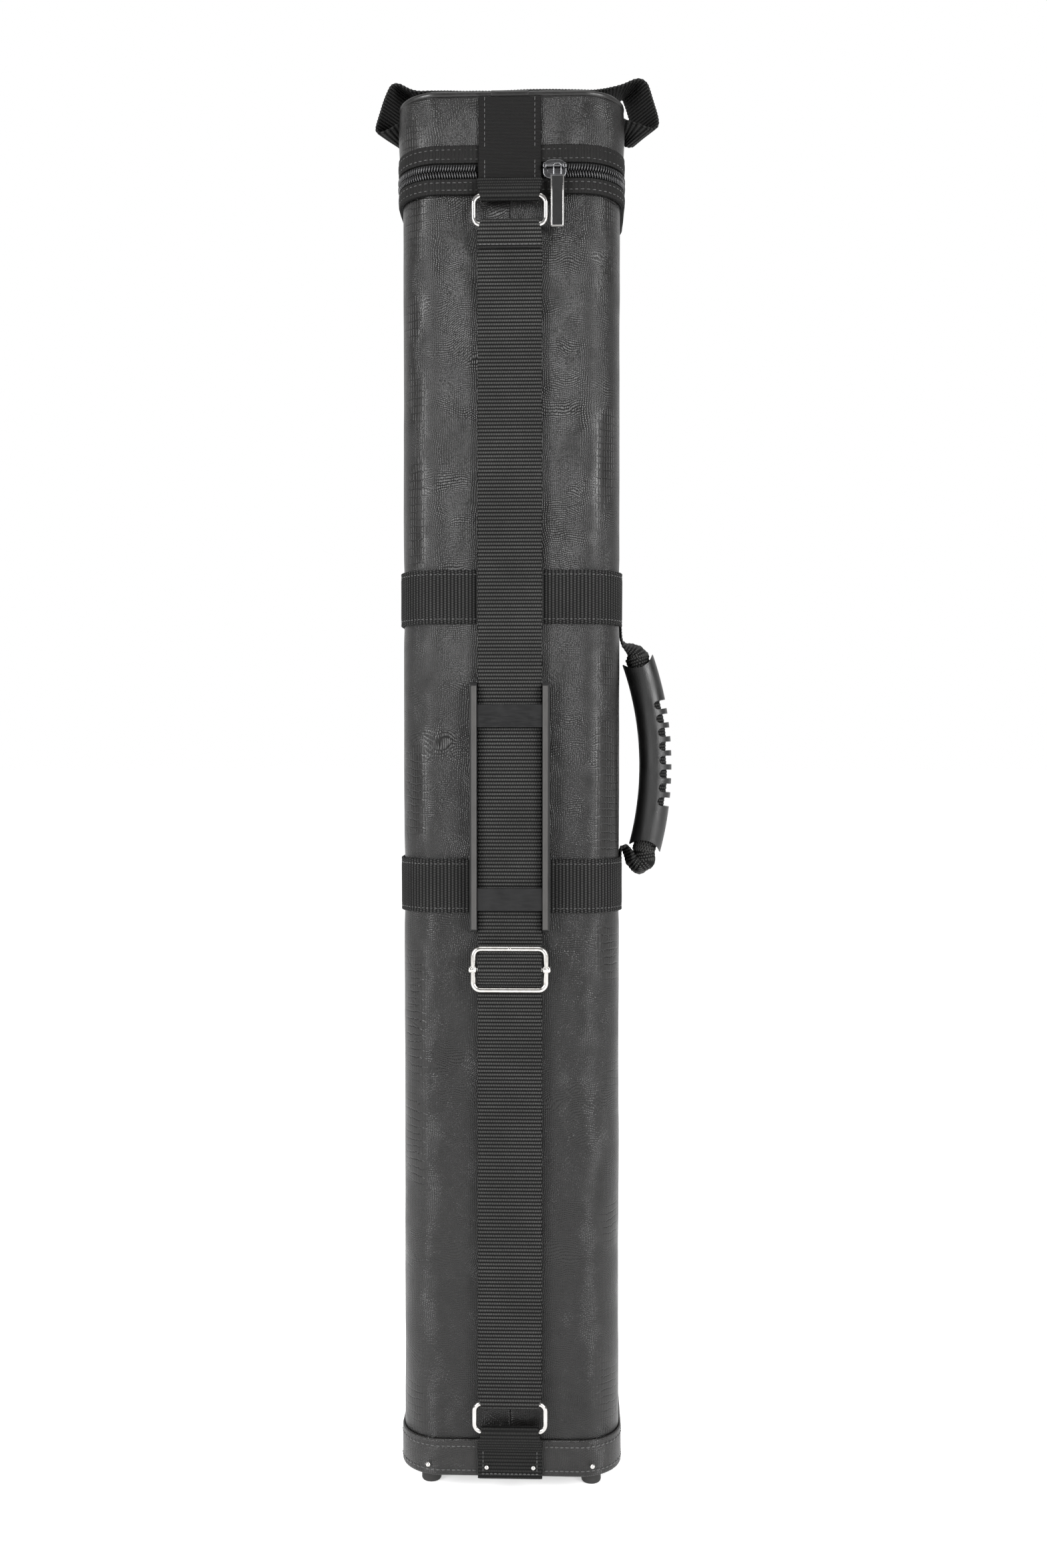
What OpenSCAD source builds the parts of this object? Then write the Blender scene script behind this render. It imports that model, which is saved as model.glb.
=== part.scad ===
// Hard cue case standing upright: a board box wrapped in leatherette with a zipped lid,
// a shoulder strap on its front face (-Y) and a moulded carry grip on its right side (+X).
// The origin is on the floor, at the middle of the case's outline. +Z is up. Millimetres.

/* [Cue tubes] */
// Inside diameter of a tube for a butt
butt_bore = 35; // [30:0.5:42]
// Inside diameter of a tube for a shaft
shaft_bore = 17.5; // [14:0.5:21]
// Wall of every tube
tube_wall = 1; // [0.6:0.1:1.4]
// Gap between neighbouring tubes, and from a tube to the lining
tube_gap = 0.4; // [0.3:0.1:1]
// Gap between the butt tubes and the shaft tubes beside them
column_gap = 3.58; // [1:0.02:12]
// Height of the empty room between the tube plate and the zip line
rim_room = 12.3; // [8:0.1:30]

/* [Case body] */
// Overall height from the floor to the top of the piping
case_h = 838; // [760:1:1010]
// Outside radius of the case's upright corners
corner_r = 25; // [20:1:34]
// Thickness of the board shell
board_t = 3; // [2:0.1:5]
// Thickness of the leatherette wrap
wrap_t = 1; // [0.6:0.1:1.5]
// Thickness of the felt lining
lining_t = 1; // [0.6:0.1:2]
// Thickness of the wooden base block
base_t = 15; // [10:1:30]
// Thickness of the foam under the tubes
base_pad_t = 8.6; // [4:0.2:20]
// Thickness of the trim plate on top of the tubes
plate_t = 3; // [2:0.5:6]

/* [Bottom cap] */
// Height of the cap band
cap_h = 22.4; // [18:0.2:26]
// How far the cap stands proud of the body
cap_proud = 1.5; // [1:0.1:2.4]
// Thickness of the cap's floor
cap_floor = 2; // [1.5:0.5:4]
// Height of the rubber feet
foot_h = 10.4; // [8:0.2:20]
// Diameter of a rubber foot
foot_d = 12; // [11:0.5:20]
// Distance from a foot's centre to the side of the case
foot_inset = 17; // [14:0.5:24]
// Diameter of a foot screw's shank
screw_d = 3; // [2.5:0.5:4]
// Diameter of a foot screw's head
screw_head_d = 6.4; // [5.5:0.1:7]
// Diameter of a dome tack
tack_d = 3.2; // [2:0.2:4]
// Height of the tacks above the cap's lower edge
tack_up = 7; // [5:0.5:9]

/* [Lid] */
// Height from the zip line to the top of the piping
lid_h = 47.7; // [42:0.1:70]
// How far the padded lid stands proud of the body
lid_proud = 2.2; // [1.5:0.1:3]
// Thickness of the lid's top board
lid_board_t = 4; // [3:0.5:8]
// Thickness of the foam under the lid's top board
lid_pad_t = 8; // [4:0.5:14]
// Diameter of the piping round the lid's top edge
piping_d = 4; // [3:0.2:5]
// Height of the crown of the padded top above its edge
crown_h = 7.7; // [4:0.1:10]
// Length of the sleeve over the piping's joint
sleeve_l = 22; // [12:1:40]
// Thickness of the sleeve
sleeve_t = 0.5; // [0.3:0.1:1]

/* [Zipper] */
// Thickness of the zipper tape
zip_tape_t = 1; // [0.6:0.1:1.4]
// Width of the closed coil chain
chain_w = 7.8; // [6:0.2:9]
// Thickness of the coil
coil_t = 2.2; // [1.6:0.1:3]
// Width of the grosgrain binding on each side of the zip
binding_w = 10.1; // [7:0.1:12]
// Thickness of the grosgrain binding
binding_t = 1.8; // [0.8:0.1:2]
// Width of the upright tape that hinges the lid
hinge_w = 37; // [30:1:44]
// Thickness of the hinge tape
hinge_t = 1.4; // [1:0.1:2]
// Gap between the lid's and the body's halves of the zip
zip_gap = 0.4; // [0.3:0.1:1]
// Length of the slider along the zip
slider_l = 14; // [12:0.5:18]
// Length of the pull tab below its eye
pull_l = 30.4; // [20:0.2:44]
// Width of the pull tab
pull_w = 8; // [6.5:0.1:10]
// Thickness of the pull tab
pull_t = 1.8; // [1.2:0.1:2.4]

/* [Webbing] */
// Width of the shoulder strap
strap_w = 38.1; // [31:0.05:40]
// Thickness of the shoulder strap
strap_t = 1.6; // [1:0.1:2]
// Width of the bands and the handles' webbing
band_w = 31.75; // [25:0.25:38]
// Thickness of the bands
band_t = 1.6; // [1:0.1:2]
// Height of the lower band's lower edge
band_lower_z = 351.3; // [300:0.1:380]
// Height of the upper band's lower edge
band_upper_z = 524; // [515:0.1:600]
// Height of the doubled strap's top end
double_top_z = 300; // [250:1:330]

/* [Strap rings] */
// Wire diameter of both rings
ring_wire = 3; // [2.5:0.1:3.4]
// Overall width of a ring
ring_w = 45.4; // [44:0.1:56]
// Overall height of a ring
ring_h = 20; // [18:0.1:26]
// Outside corner radius of a ring
ring_r = 6; // [4:0.1:8]
// Distance from the zip line down to the upper ring's centre
ring_drop = 24.1; // [23:0.1:40]
// Height of the lower ring's centre
ring_low_z = 48.3; // [44:0.1:70]

/* [Shoulder pad] */
// Length of the pad's rails
pad_l = 149.5; // [100:0.5:175]
// Height of the rails' lower ends
pad_z = 339.6; // [338:0.1:400]
// Width of a rail
rail_w = 4.4; // [3:0.1:6]
// Height of a cross plate
plate_h = 13.5; // [8:0.5:24]
// Distance from a rail's end to a cross plate
plate_inset = 13.5; // [6:0.5:30]

/* [Slide buckle] */
// Height of the buckle's centre bar
buckle_z = 318.4; // [290:0.1:322]
// Overall width of the buckle
buckle_w = 46.3; // [45:0.1:54]
// Overall height of the buckle
buckle_h = 27.8; // [24:0.1:30]
// Wire diameter of the buckle
buckle_wire = 3.3; // [2.6:0.1:4]

/* [Carry grip] */
// Length of the grip along its curve
grip_l = 119; // [90:1:124]
// Height of the grip's middle
grip_z = 446.4; // [440:0.1:455]
// Distance from the case's side to the middle of the grip
grip_out = 23; // [22:0.1:34]
// Radius of the curve that the grip follows
grip_curve = 200; // [180:1:260]
// Lean of the grip, with its top towards the case
grip_lean = 2.2; // [0:0.1:3]
// Thickness of the grip away from the case
grip_t = 20; // [18:0.5:22]
// Width of the grip across its thickness
grip_w = 22; // [20:0.5:24]
// Wall of the grip's two shells
grip_wall = 2.6; // [2:0.1:3.5]
// Number of slots in the outer shell
slot_n = 8; // [4:1:9]
// Distance from one slot to the next
slot_pitch = 8.8; // [8:0.1:10]
// Width of a slot
slot_w = 5.4; // [3:0.1:6]
// Depth of a slot
slot_d = 8; // [6:0.5:10]

/* [Clearances] */
// Air between pieces that move past each other
slide_gap = 0.4; // [0.3:0.05:0.5]
// Radial play of a ring's bar in its webbing eye
eye_play = 0.2; // [0.15:0.05:0.4]
// Radial play of the pull's eye on the slider's bar
pull_play = 0.15; // [0.1:0.05:0.3]
// Radial play of a screw in its hole
screw_play = 0.1; // [0.1:0.05:0.3]

/* [Hidden] */
$fn = 64;

// Tubes and the inside of the case
butt_od = butt_bore + 2 * tube_wall;
shaft_od = shaft_bore + 2 * tube_wall;
wall_t = lining_t + board_t + wrap_t;
// A butt tube stands in the rounded corner, a gap away from the flat sides or from the round
corner_in = corner_r - wall_t;
corner_seat = butt_od / 2 + tube_gap;
corner_inset = max(corner_seat, corner_in - (corner_in - corner_seat) / sqrt(2));
inside_w = 2 * (corner_inset + butt_od / 2 + column_gap + shaft_od) + tube_gap;
inside_t = max(4 * shaft_od + 5 * tube_gap, 2 * corner_inset + butt_od + tube_gap);
body_w = inside_w + 2 * wall_t;
body_t = inside_t + 2 * wall_t;
butt_x = inside_w / 2 - corner_inset;
butt_y = inside_t / 2 - corner_inset;
shaft_x = (shaft_od + tube_gap) / 2;
shaft_pitch = shaft_od + tube_gap;

// Heights, from the floor up
cap_top = foot_h + cap_h;
base_z = foot_h + cap_floor;
lining_z = base_z + base_t;
tube_z = lining_z + base_pad_t;
zip_z = case_h - lid_h;
tube_top = zip_z - rim_room - plate_t;
board_gap = 1.4;
shell_top = zip_z - board_gap / 2;
lid_low = zip_z + board_gap / 2;
piping_seat = 0.1;
// How far the piping's straights run into its corners, so the cord is one solid at any size
piping_lap = 0.02;
edge_z = case_h - piping_d - piping_seat;
chain_half = chain_w / 2;
// The lower binding is narrower than the upper by what is folded in
binding_fold = 1.2;
binding_low_w = binding_w - binding_fold;
binding_low_z = zip_z - chain_half - 0.4 - binding_low_w;
binding_high_z = zip_z + chain_half + 1.1;

// Depths in front of the case's middle plane; the front face looks along -Y
face_y = -body_t / 2;
binding_out = zip_tape_t + binding_t;
hinge_back_y = face_y - binding_out;
hinge_front_y = hinge_back_y - hinge_t;
hinge_z = zip_z + 9.7;
hinge_low_z = zip_z - 5;
hinge_seam = 0.6;
cap_y = face_y - cap_proud;
band_y = face_y - band_t;
pad_back_y = band_y - slide_gap;
pad_base_t = 1.4;
strap_back_y = pad_back_y - pad_base_t - slide_gap;
strap_mid_y = strap_back_y - strap_t;
double_gap = 0.3;
strap_front_y = strap_mid_y - double_gap - strap_t;
patch_y = cap_y;
patch_t = 3;
loop_t = 3;

// Rings and the webbing eyes round their bars
eye_bore_r = ring_wire / 2 + eye_play;
eye_wall = 1.5;
eye_r = eye_bore_r + eye_wall;
eye_w = ring_w - 2 * ring_r - slide_gap;
ring_y = hinge_back_y - eye_r;
ring_bar = (ring_h - ring_wire) / 2;
ring_high_z = zip_z - ring_drop;
eye_start = eye_bore_r + 0.4;
eye_tail = 10;
eye_lap = 0.2;
patch_w = strap_w + 0.5;
strap_low_z = ring_low_z + ring_bar + eye_start + eye_tail + 1.8;
strap_high_z = ring_high_z - ring_bar - eye_start - eye_tail;

// Slide buckle
buckle_y = strap_front_y - double_gap - buckle_wire / 2;
// The bosses stand just outside the strap's edges
boss_r = 2.3;
boss_in = strap_w / 2 + 0.25;
boss_out = max(buckle_w / 2 + 1.3, boss_in + 2);
bar_r = 1.5;
hump_half = 9.4;
hump_rise = bar_r + 0.1 + buckle_wire / 2 + 0.05;

// Zip slider and pull
slider_x = hinge_w / 2 + 1 + slider_l / 2;
coil_front_y = face_y - zip_tape_t - coil_t;
slider_back_y = coil_front_y - slide_gap;
slider_t = 1.5;
slider_h = 11.6;
slider_tail_h = 9.2;
bail_r = 0.95;
bail_y = slider_back_y - slider_t - 1.9;
bail_z = zip_z + 1.4;
pull_eye_r = bail_r + pull_play;
pull_x = slider_x + slider_l / 2 - 1.4 - pull_w / 2;
pull_top_z = bail_z - 5.4;
pull_eye_wall = 0.75;
insert_rim = 0.9;

// Shoulder pad
rail_in = strap_w / 2 + slide_gap;
rail_rise = 4.2;
rail_front_y = strap_mid_y - slide_gap - rail_rise;
cross_t = 2.4;
base_inset = 2;

// Carry grip
grip_x = body_w / 2 + grip_out;
grip_angle = grip_l / grip_curve * 180 / PI;
core_play = 0.2;
core_t = grip_t - 2 * grip_wall - core_play;
core_w = grip_w - 2 * grip_wall - core_play;
core_up = 8;
core_down = 14;
end_dip_r = 11.5;
end_dip = 5;
tab_l = 8;

// Top handle: the webbing's line over the lid, as distances out from the lid's side and up
// from the top of the piping
handle_side = body_w / 2;
handle_right = [[0.6, -3.8], [6, -7], [12, -10.5], [16, -9.5], [16.5, -5], [13, 8],
                [9.5, 18], [6, 19], [0, 15], [-11, 13]];
handle_left = [[0.6, -3.8], [5, -9.8], [9.5, -11], [10.5, -7.5], [7, 4], [3.5, 14],
               [0, 18.5], [-4, 17], [-11, 13]];

// ---- shared shapes ----

// The case's outline, moved outwards by off
module outline(off)
{
    w = body_w + 2 * off;
    t = body_t + 2 * off;
    r = corner_r + off;
    square([w - 2 * r, t], center = true);
    square([w, t - 2 * r], center = true);
    for (sx = [-1, 1], sy = [-1, 1])
        translate([sx * (w / 2 - r), sy * (t / 2 - r)]) circle(r = r);
}

// A wall that follows the case's outline between two offsets and two heights
module wall(inner, outer, z0, z1)
{
    translate([0, 0, z0]) linear_extrude(z1 - z0) difference()
    {
        outline(outer);
        outline(inner);
    }
}

// A plate that fills the case's outline at an offset
module plate(off, z0, z1)
{
    translate([0, 0, z0]) linear_extrude(z1 - z0) outline(off);
}

// A box given by its limits
module block(x, y, z)
{
    translate([min(x), min(y), min(z)])
        cube([max(x) - min(x), max(y) - min(y), max(z) - min(z)]);
}

// A box centred on x = 0
module strip(w, y, z) block([-w / 2, w / 2], y, z);

// A rod along X
module rod(r, l, at) translate(at) rotate([0, 90, 0]) cylinder(r = r, h = l, center = true);

// A closed loop of round wire in the XY plane, w by h over its outside; lap is how far the
// straights run into the corners in all
module wire_loop(w, h, r, d, lap = 0)
{
    cr = r - d / 2;
    cx = w / 2 - r;
    cy = h / 2 - r;
    for (s = [-1, 1])
    {
        translate([0, s * (h - d) / 2, 0]) rotate([0, 90, 0])
            cylinder(d = d, h = 2 * cx + lap, center = true);
        translate([s * (w - d) / 2, 0, 0]) rotate([90, 0, 0])
            cylinder(d = d, h = 2 * cy + lap, center = true);
    }
    for (k = [0 : 3])
    {
        sx = (k == 0 || k == 3) ? 1 : -1;
        sy = k < 2 ? 1 : -1;
        translate([sx * cx, sy * cy, 0]) rotate([0, 0, 90 * k])
            rotate_extrude(angle = 90) translate([cr, 0]) circle(d = d);
    }
}

// The same loop standing upright, facing the front
module upright_loop(w, h, r, d, at) translate(at) rotate([90, 0, 0]) wire_loop(w, h, r, d);

// Webbing wrapped round a ring's bar: side is 1 where it leaves upwards and -1 downwards
module eye(bar_z, side, far_z, y, w)
{
    start_z = bar_z + side * eye_start;
    difference()
    {
        union()
        {
            rod(eye_r, eye_w, [0, ring_y, bar_z]);
            strip(eye_w, y, [bar_z, start_z + side * eye_lap]);
            strip(w, y, [start_z, far_z]);
        }
        rod(eye_bore_r, eye_w + 2, [0, ring_y, bar_z]);
    }
}

// ---- tubes and inside ----

module tube(bore, od, x, y)
{
    translate([x, y, tube_z]) difference()
    {
        cylinder(d = od, h = tube_top - tube_z);
        translate([0, 0, -1]) cylinder(d = bore, h = tube_top - tube_z + 2);
    }
}

module butt_tube(k)
{
    sx = (k == 1 || k == 2) ? -1 : 1;
    sy = (k == 1 || k == 3) ? -1 : 1;
    color("black") tube(butt_bore, butt_od, sx * butt_x, sy * butt_y);
}

module shaft_tubes(side)
{
    color("black") for (row = [-1.5 : 1 : 1.5])
        tube(shaft_bore, shaft_od, side * shaft_x, row * shaft_pitch);
}

module tube_plate()
{
    hole_play = 0.2;
    color("dimgray") difference()
    {
        plate(-wall_t, tube_top, tube_top + plate_t);
        for (sx = [-1, 1], sy = [-1, 1])
            translate([sx * butt_x, sy * butt_y, tube_top - 1])
                cylinder(r = butt_bore / 2 + hole_play, h = plate_t + 2);
        for (sx = [-1, 1], row = [-1.5 : 1 : 1.5])
            translate([sx * shaft_x, row * shaft_pitch, tube_top - 1])
                cylinder(r = shaft_bore / 2 + hole_play, h = plate_t + 2);
    }
}

module base_block()
{
    color("tan") difference()
    {
        plate(-wrap_t - board_t, base_z, base_z + base_t);
        at_feet() translate([0, 0, base_z - 1])
            cylinder(d = screw_d + 2 * screw_play, h = screw_in + 1 + 2 * screw_play);
    }
}

module base_pad() color("dimgray") plate(-wall_t, lining_z, tube_z);

// ---- body ----

module body_shell() color("tan") wall(-wrap_t - board_t, -wrap_t, base_z, shell_top);

module body_wrap() color([0.16, 0.15, 0.15]) wall(-wrap_t, 0, base_z, shell_top);

module body_lining() color("dimgray") wall(-wall_t, lining_t - wall_t, lining_z, shell_top);

module band(z0) color([0.1, 0.1, 0.1]) wall(0, band_t, z0, z0 + band_w);

// Flat ends of the grip's webbing, sewn under the bands' edges
module webbing_tab(z0, z1) color([0.1, 0.1, 0.1])
    block([body_w / 2, body_w / 2 + band_t], [-band_w / 2, band_w / 2], [z0, z1]);

// ---- bottom ----

screw_in = 10;
screw_seat = 4;

module at_feet()
{
    for (sx = [-1, 1], sy = [-1, 1])
        translate([sx * (body_w / 2 - foot_inset), sy * (body_t / 2 - foot_inset), 0]) children();
}

module bottom_cap()
{
    color([0.14, 0.13, 0.13]) difference()
    {
        union()
        {
            plate(cap_proud, foot_h, base_z);
            wall(0, cap_proud, base_z, cap_top);
        }
        at_feet() translate([0, 0, foot_h - 1]) cylinder(d = screw_d + 2 * screw_play, h = cap_floor + 2);
    }
}

// Rubber feet with a rounded lower edge and a counterbore for the screw's head
module feet()
{
    edge_r = 1.5;
    color([0.08, 0.08, 0.08]) at_feet() difference()
    {
        union()
        {
            translate([0, 0, edge_r]) cylinder(d = foot_d, h = foot_h - edge_r);
            cylinder(d = foot_d - 2 * edge_r, h = foot_h);
            translate([0, 0, edge_r]) rotate_extrude()
                translate([foot_d / 2 - edge_r, 0]) circle(r = edge_r);
        }
        translate([0, 0, -1]) cylinder(d = screw_head_d + 0.6, h = screw_seat + 1);
        cylinder(d = screw_d + 2 * screw_play, h = foot_h + 1);
    }
}

module foot_screws()
{
    head_h = 2;
    color("silver") at_feet()
    {
        translate([0, 0, screw_seat - head_h]) cylinder(d = screw_head_d, h = head_h);
        translate([0, 0, screw_seat - 0.1]) cylinder(d = screw_d, h = base_z + screw_in - screw_seat);
    }
}

// Dome tacks through the cap, in the front patch and in the back
module cap_tacks()
{
    near_x = 14;
    far_x = body_w / 2 - 16.5;
    color("gainsboro") for (s = [-1, 1])
    {
        tack(s * near_x, patch_y - patch_t, -1);
        tack(s * far_x, cap_y, -1);
        tack(s * near_x, -cap_y, 1);
        tack(s * far_x, -cap_y, 1);
    }
}

module tack(x, y, side)
{
    translate([x, y, foot_h + tack_up]) intersection()
    {
        sphere(d = tack_d);
        translate([0, side * tack_d / 2, 0]) cube(tack_d, center = true);
    }
}

// Webbing patch tacked over the cap, with the lower ring's eye
module bottom_patch() color([0.1, 0.1, 0.1])
    eye(ring_low_z - ring_bar, -1, foot_h, [patch_y - patch_t, patch_y], patch_w);

// ---- zip, body side ----

module zip_tape_lower() color([0.08, 0.08, 0.08])
    wall(0, zip_tape_t, binding_low_z, zip_z - zip_gap / 2);

module binding_lower() color([0.12, 0.12, 0.12])
    wall(zip_tape_t, binding_out, binding_low_z, binding_low_z + binding_low_w);

// A coil stops at the hinge tape, which hides both of its ends
module coil(z0, z1)
{
    color([0.06, 0.06, 0.06]) difference()
    {
        wall(zip_tape_t, zip_tape_t + coil_t, z0, z1);
        strip(hinge_w + 1, [face_y - 10, face_y + 1], [z0 - 1, z1 + 1]);
    }
}

module hinge_tape_lower() color([0.1, 0.1, 0.1])
    strip(hinge_w, [hinge_front_y, hinge_back_y], [hinge_low_z, hinge_z - hinge_seam / 2]);

module ring_loop() color([0.1, 0.1, 0.1])
    eye(ring_high_z + ring_bar, 1, hinge_low_z - 0.1, [hinge_back_y - loop_t, hinge_back_y], strap_w);

// ---- lid ----

module lid_wall() color("tan") wall(-wrap_t - board_t, 0, lid_low, edge_z);

module lid_wrap() color([0.16, 0.15, 0.15]) wall(0, lid_proud, binding_high_z + binding_w, edge_z);

module lid_board() color("tan") plate(-wrap_t - board_t, edge_z - lid_board_t, edge_z);

module lid_lining() color("dimgray")
    wall(-wall_t, lining_t - wall_t, lid_low, edge_z - lid_board_t);

module lid_pad() color("dimgray")
    plate(-wall_t, edge_z - lid_board_t - lid_pad_t, edge_z - lid_board_t);

// Padded top, crowned in three steps inside the piping
module lid_top()
{
    step = crown_h / 3;
    lap = 0.2;
    insets = [0.2, 8, 17];
    color([0.16, 0.15, 0.15]) for (k = [0 : 2])
        plate(lid_proud - piping_d - insets[k], edge_z + k * step,
              edge_z + (k + 1) * step + (k < 2 ? lap : 0));
}

module piping() color([0.12, 0.11, 0.11]) translate([0, 0, case_h - piping_d / 2])
    wire_loop(body_w + 2 * lid_proud, body_t + 2 * lid_proud, corner_r + lid_proud, piping_d, piping_lap);

module piping_sleeve()
{
    middle = [0, face_y - lid_proud + piping_d / 2, case_h - piping_d / 2];
    color([0.13, 0.12, 0.12]) difference()
    {
        rod(piping_d / 2 + sleeve_t, sleeve_l, middle);
        rod(piping_d / 2, sleeve_l + 2, middle);
        block([-sleeve_l, sleeve_l], [middle[1], 0], [0, edge_z + crown_h / 3 + sleeve_t]);
        block([-sleeve_l, sleeve_l], [face_y - 2 * lid_proud, 0], [0, edge_z + piping_seat]);
    }
}

// A ribbon of thickness t along points [x, z], as an outline in the XZ plane
function heading(p, i) = let (a = p[max(i - 1, 0)], b = p[min(i + 1, len(p) - 1)]) (b - a) / norm(b - a);
function side_point(p, i, d) = let (h = heading(p, i)) p[i] + d * [-h[1], h[0]];
function ribbon(p, t) = concat([for (i = [0 : len(p) - 1]) side_point(p, i, t / 2)],
                               [for (i = [len(p) - 1 : -1 : 0]) side_point(p, i, -t / 2)]);
handle_line = concat([for (p = handle_left) [-handle_side - p[0], case_h + p[1]]],
                     [for (i = [len(handle_right) - 1 : -1 : 0])
                         [handle_side + handle_right[i][0], case_h + handle_right[i][1]]]);

// Webbing handle over the lid, with its ends tucked under the piping
module top_handle()
{
    air = 0.1;
    lid_side = handle_side + lid_proud + air;
    color([0.1, 0.1, 0.1]) difference()
    {
        rotate([90, 0, 0]) linear_extrude(band_w, center = true) polygon(ribbon(handle_line, band_t));
        block([-lid_side, lid_side], [-band_w, band_w], [lid_low, case_h + air]);
    }
}

module zip_tape_upper() color([0.08, 0.08, 0.08])
    wall(0, zip_tape_t, zip_z + zip_gap / 2, binding_high_z + binding_w);

module binding_upper() color([0.12, 0.12, 0.12])
    wall(zip_tape_t, binding_out, binding_high_z, binding_high_z + binding_w);

module hinge_tape_upper() color([0.1, 0.1, 0.1])
    strip(hinge_w, [hinge_front_y, hinge_back_y], [hinge_z + hinge_seam / 2, edge_z - hinge_seam]);

// ---- zip slider and pull ----

module zip_slider()
{
    front = slider_back_y - slider_t;
    half = slider_l / 2;
    post_l = 1.6;
    post_up = 1.2;
    sunk = 0.1;
    color("dimgray") translate([slider_x, 0, 0])
    {
        block([slider_h / 4 - half, half], [front, slider_back_y],
              [zip_z - slider_tail_h / 2, zip_z + slider_tail_h / 2]);
        translate([slider_h / 2 - half, slider_back_y, zip_z]) rotate([90, 0, 0])
            cylinder(d = slider_h, h = slider_t);
        rod(bail_r, slider_l - post_l, [0, bail_y, bail_z]);
        for (s = [-1, 1])
            block([s * (half - post_l), s * half], [bail_y - bail_r, front + sunk],
                  [bail_z - post_up, bail_z + post_up]);
    }
}

// Metal pull: an eye on the slider's bar, a neck and a rim round the insert
module pull_frame()
{
    neck_w = 5.4;
    lap = 0.5;
    back = bail_y + pull_t / 2;
    color("silver") translate([pull_x, 0, 0]) difference()
    {
        union()
        {
            rod(pull_eye_r + pull_eye_wall, neck_w, [0, bail_y, bail_z]);
            strip(neck_w, [back - pull_t, back], [pull_top_z - lap, bail_z - pull_eye_r - 0.2]);
            strip(pull_w, [back - pull_t, back], [pull_top_z - pull_l, pull_top_z]);
        }
        rod(pull_eye_r, neck_w + 2, [0, bail_y, bail_z]);
        strip(pull_w - 2 * insert_rim, [back - pull_t - 1, back + 1],
              [pull_top_z - pull_l + insert_rim, pull_top_z - insert_rim]);
    }
}

module pull_insert()
{
    half_t = pull_t / 2 - 0.2;
    color([0.05, 0.05, 0.05]) translate([pull_x, 0, 0])
        strip(pull_w - 2 * insert_rim, [bail_y - half_t, bail_y + half_t],
              [pull_top_z - pull_l + insert_rim, pull_top_z - insert_rim]);
}

// ---- shoulder strap ----

module strap_back() color([0.1, 0.1, 0.1])
    strip(strap_w, [strap_mid_y, strap_back_y], [strap_low_z, strap_high_z]);

module strap_front() color([0.1, 0.1, 0.1])
    strip(strap_w, [strap_front_y, strap_mid_y - double_gap], [strap_low_z, double_top_z]);

module strap_eye_upper() color([0.1, 0.1, 0.1])
    eye(ring_high_z - ring_bar, -1, strap_high_z + slide_gap,
        [strap_back_y - 2 * strap_t, strap_back_y], strap_w);

module strap_eye_lower() color([0.1, 0.1, 0.1])
    eye(ring_low_z + ring_bar, 1, strap_low_z - slide_gap, [strap_front_y, strap_back_y], strap_w);

module ring(z) color("silver") upright_loop(ring_w, ring_h, ring_r, ring_wire, [0, ring_y, z]);

// ---- shoulder pad ----

module pad_rails()
{
    lip = 0.4;
    face_w = rail_w - 1.2 - lip;
    bevel_y = rail_front_y + 2.6;
    color([0.55, 0.52, 0.5]) for (s = [-1, 1])
        translate([0, 0, pad_z]) linear_extrude(pad_l) polygon([
            [s * rail_in, pad_back_y],
            [s * rail_in, rail_front_y + lip],
            [s * (rail_in + lip), rail_front_y],
            [s * (rail_in + lip + face_w), rail_front_y],
            [s * (rail_in + rail_w), bevel_y],
            [s * (rail_in + rail_w), pad_back_y]]);
}

module pad_base() color([0.1, 0.1, 0.1])
    strip(2 * rail_in, [pad_back_y - pad_base_t, pad_back_y],
          [pad_z + base_inset, pad_z + pad_l - base_inset]);

module pad_plate(z0) color([0.2, 0.2, 0.21])
    strip(2 * rail_in, [strap_mid_y - slide_gap - cross_t, strap_mid_y - slide_gap],
          [z0, z0 + plate_h]);

// ---- slide buckle ----

module buckle_frame()
{
    color("silver")
    {
        upright_loop(buckle_w, buckle_h, 6, buckle_wire, [0, buckle_y, buckle_z]);
        for (s = [-1, 1])
            rod(boss_r, boss_out - boss_in, [s * (boss_in + boss_out) / 2, buckle_y, buckle_z]);
    }
}

module buckle_bar() color("silver") rod(bar_r, 2 * boss_in, [0, buckle_y, buckle_z]);

// The strap's pass over the buckle's centre bar
module strap_hump()
{
    back_y = strap_front_y - double_gap;
    steps = 16;
    inner = [for (k = [-steps : steps])
        [back_y - hump_rise * (1 + cos(180 * k / steps)) / 2, hump_half * k / steps]];
    outer = [for (k = [steps : -1 : -steps]) [inner[k + steps][0] - strap_t + 0.1, inner[k + steps][1]]];
    color([0.1, 0.1, 0.1]) translate([0, 0, buckle_z]) rotate([90, 0, 90])
        linear_extrude(strap_w, center = true) polygon(concat(inner, outer));
}

// ---- carry grip ----

// Sweeps a section along the grip's curve, from a0 to a1 degrees up from its middle
module along_grip(a0, a1)
{
    translate([grip_x, 0, grip_z]) rotate([0, -grip_lean, 0]) translate([-grip_curve, 0, 0])
        rotate([90, 0, 0]) rotate([0, 0, a0]) rotate_extrude(angle = a1 - a0)
            translate([grip_curve, 0]) children();
}

// Puts something at an angle along the grip's curve, with +X away from the case
module at_grip(a)
{
    translate([grip_x, 0, grip_z]) rotate([0, -grip_lean, 0]) translate([-grip_curve, 0, 0])
        rotate([0, -a, 0]) translate([grip_curve, 0, 0]) children();
}

// A rounded section, thick across X and wide across Y
module grip_section(t, w)
{
    r = min(t, w) / 2;
    for (s = [-1, 1]) translate([0, s * (w / 2 - r)]) circle(r = r);
    square([t, w - 2 * r], center = true);
}

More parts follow.
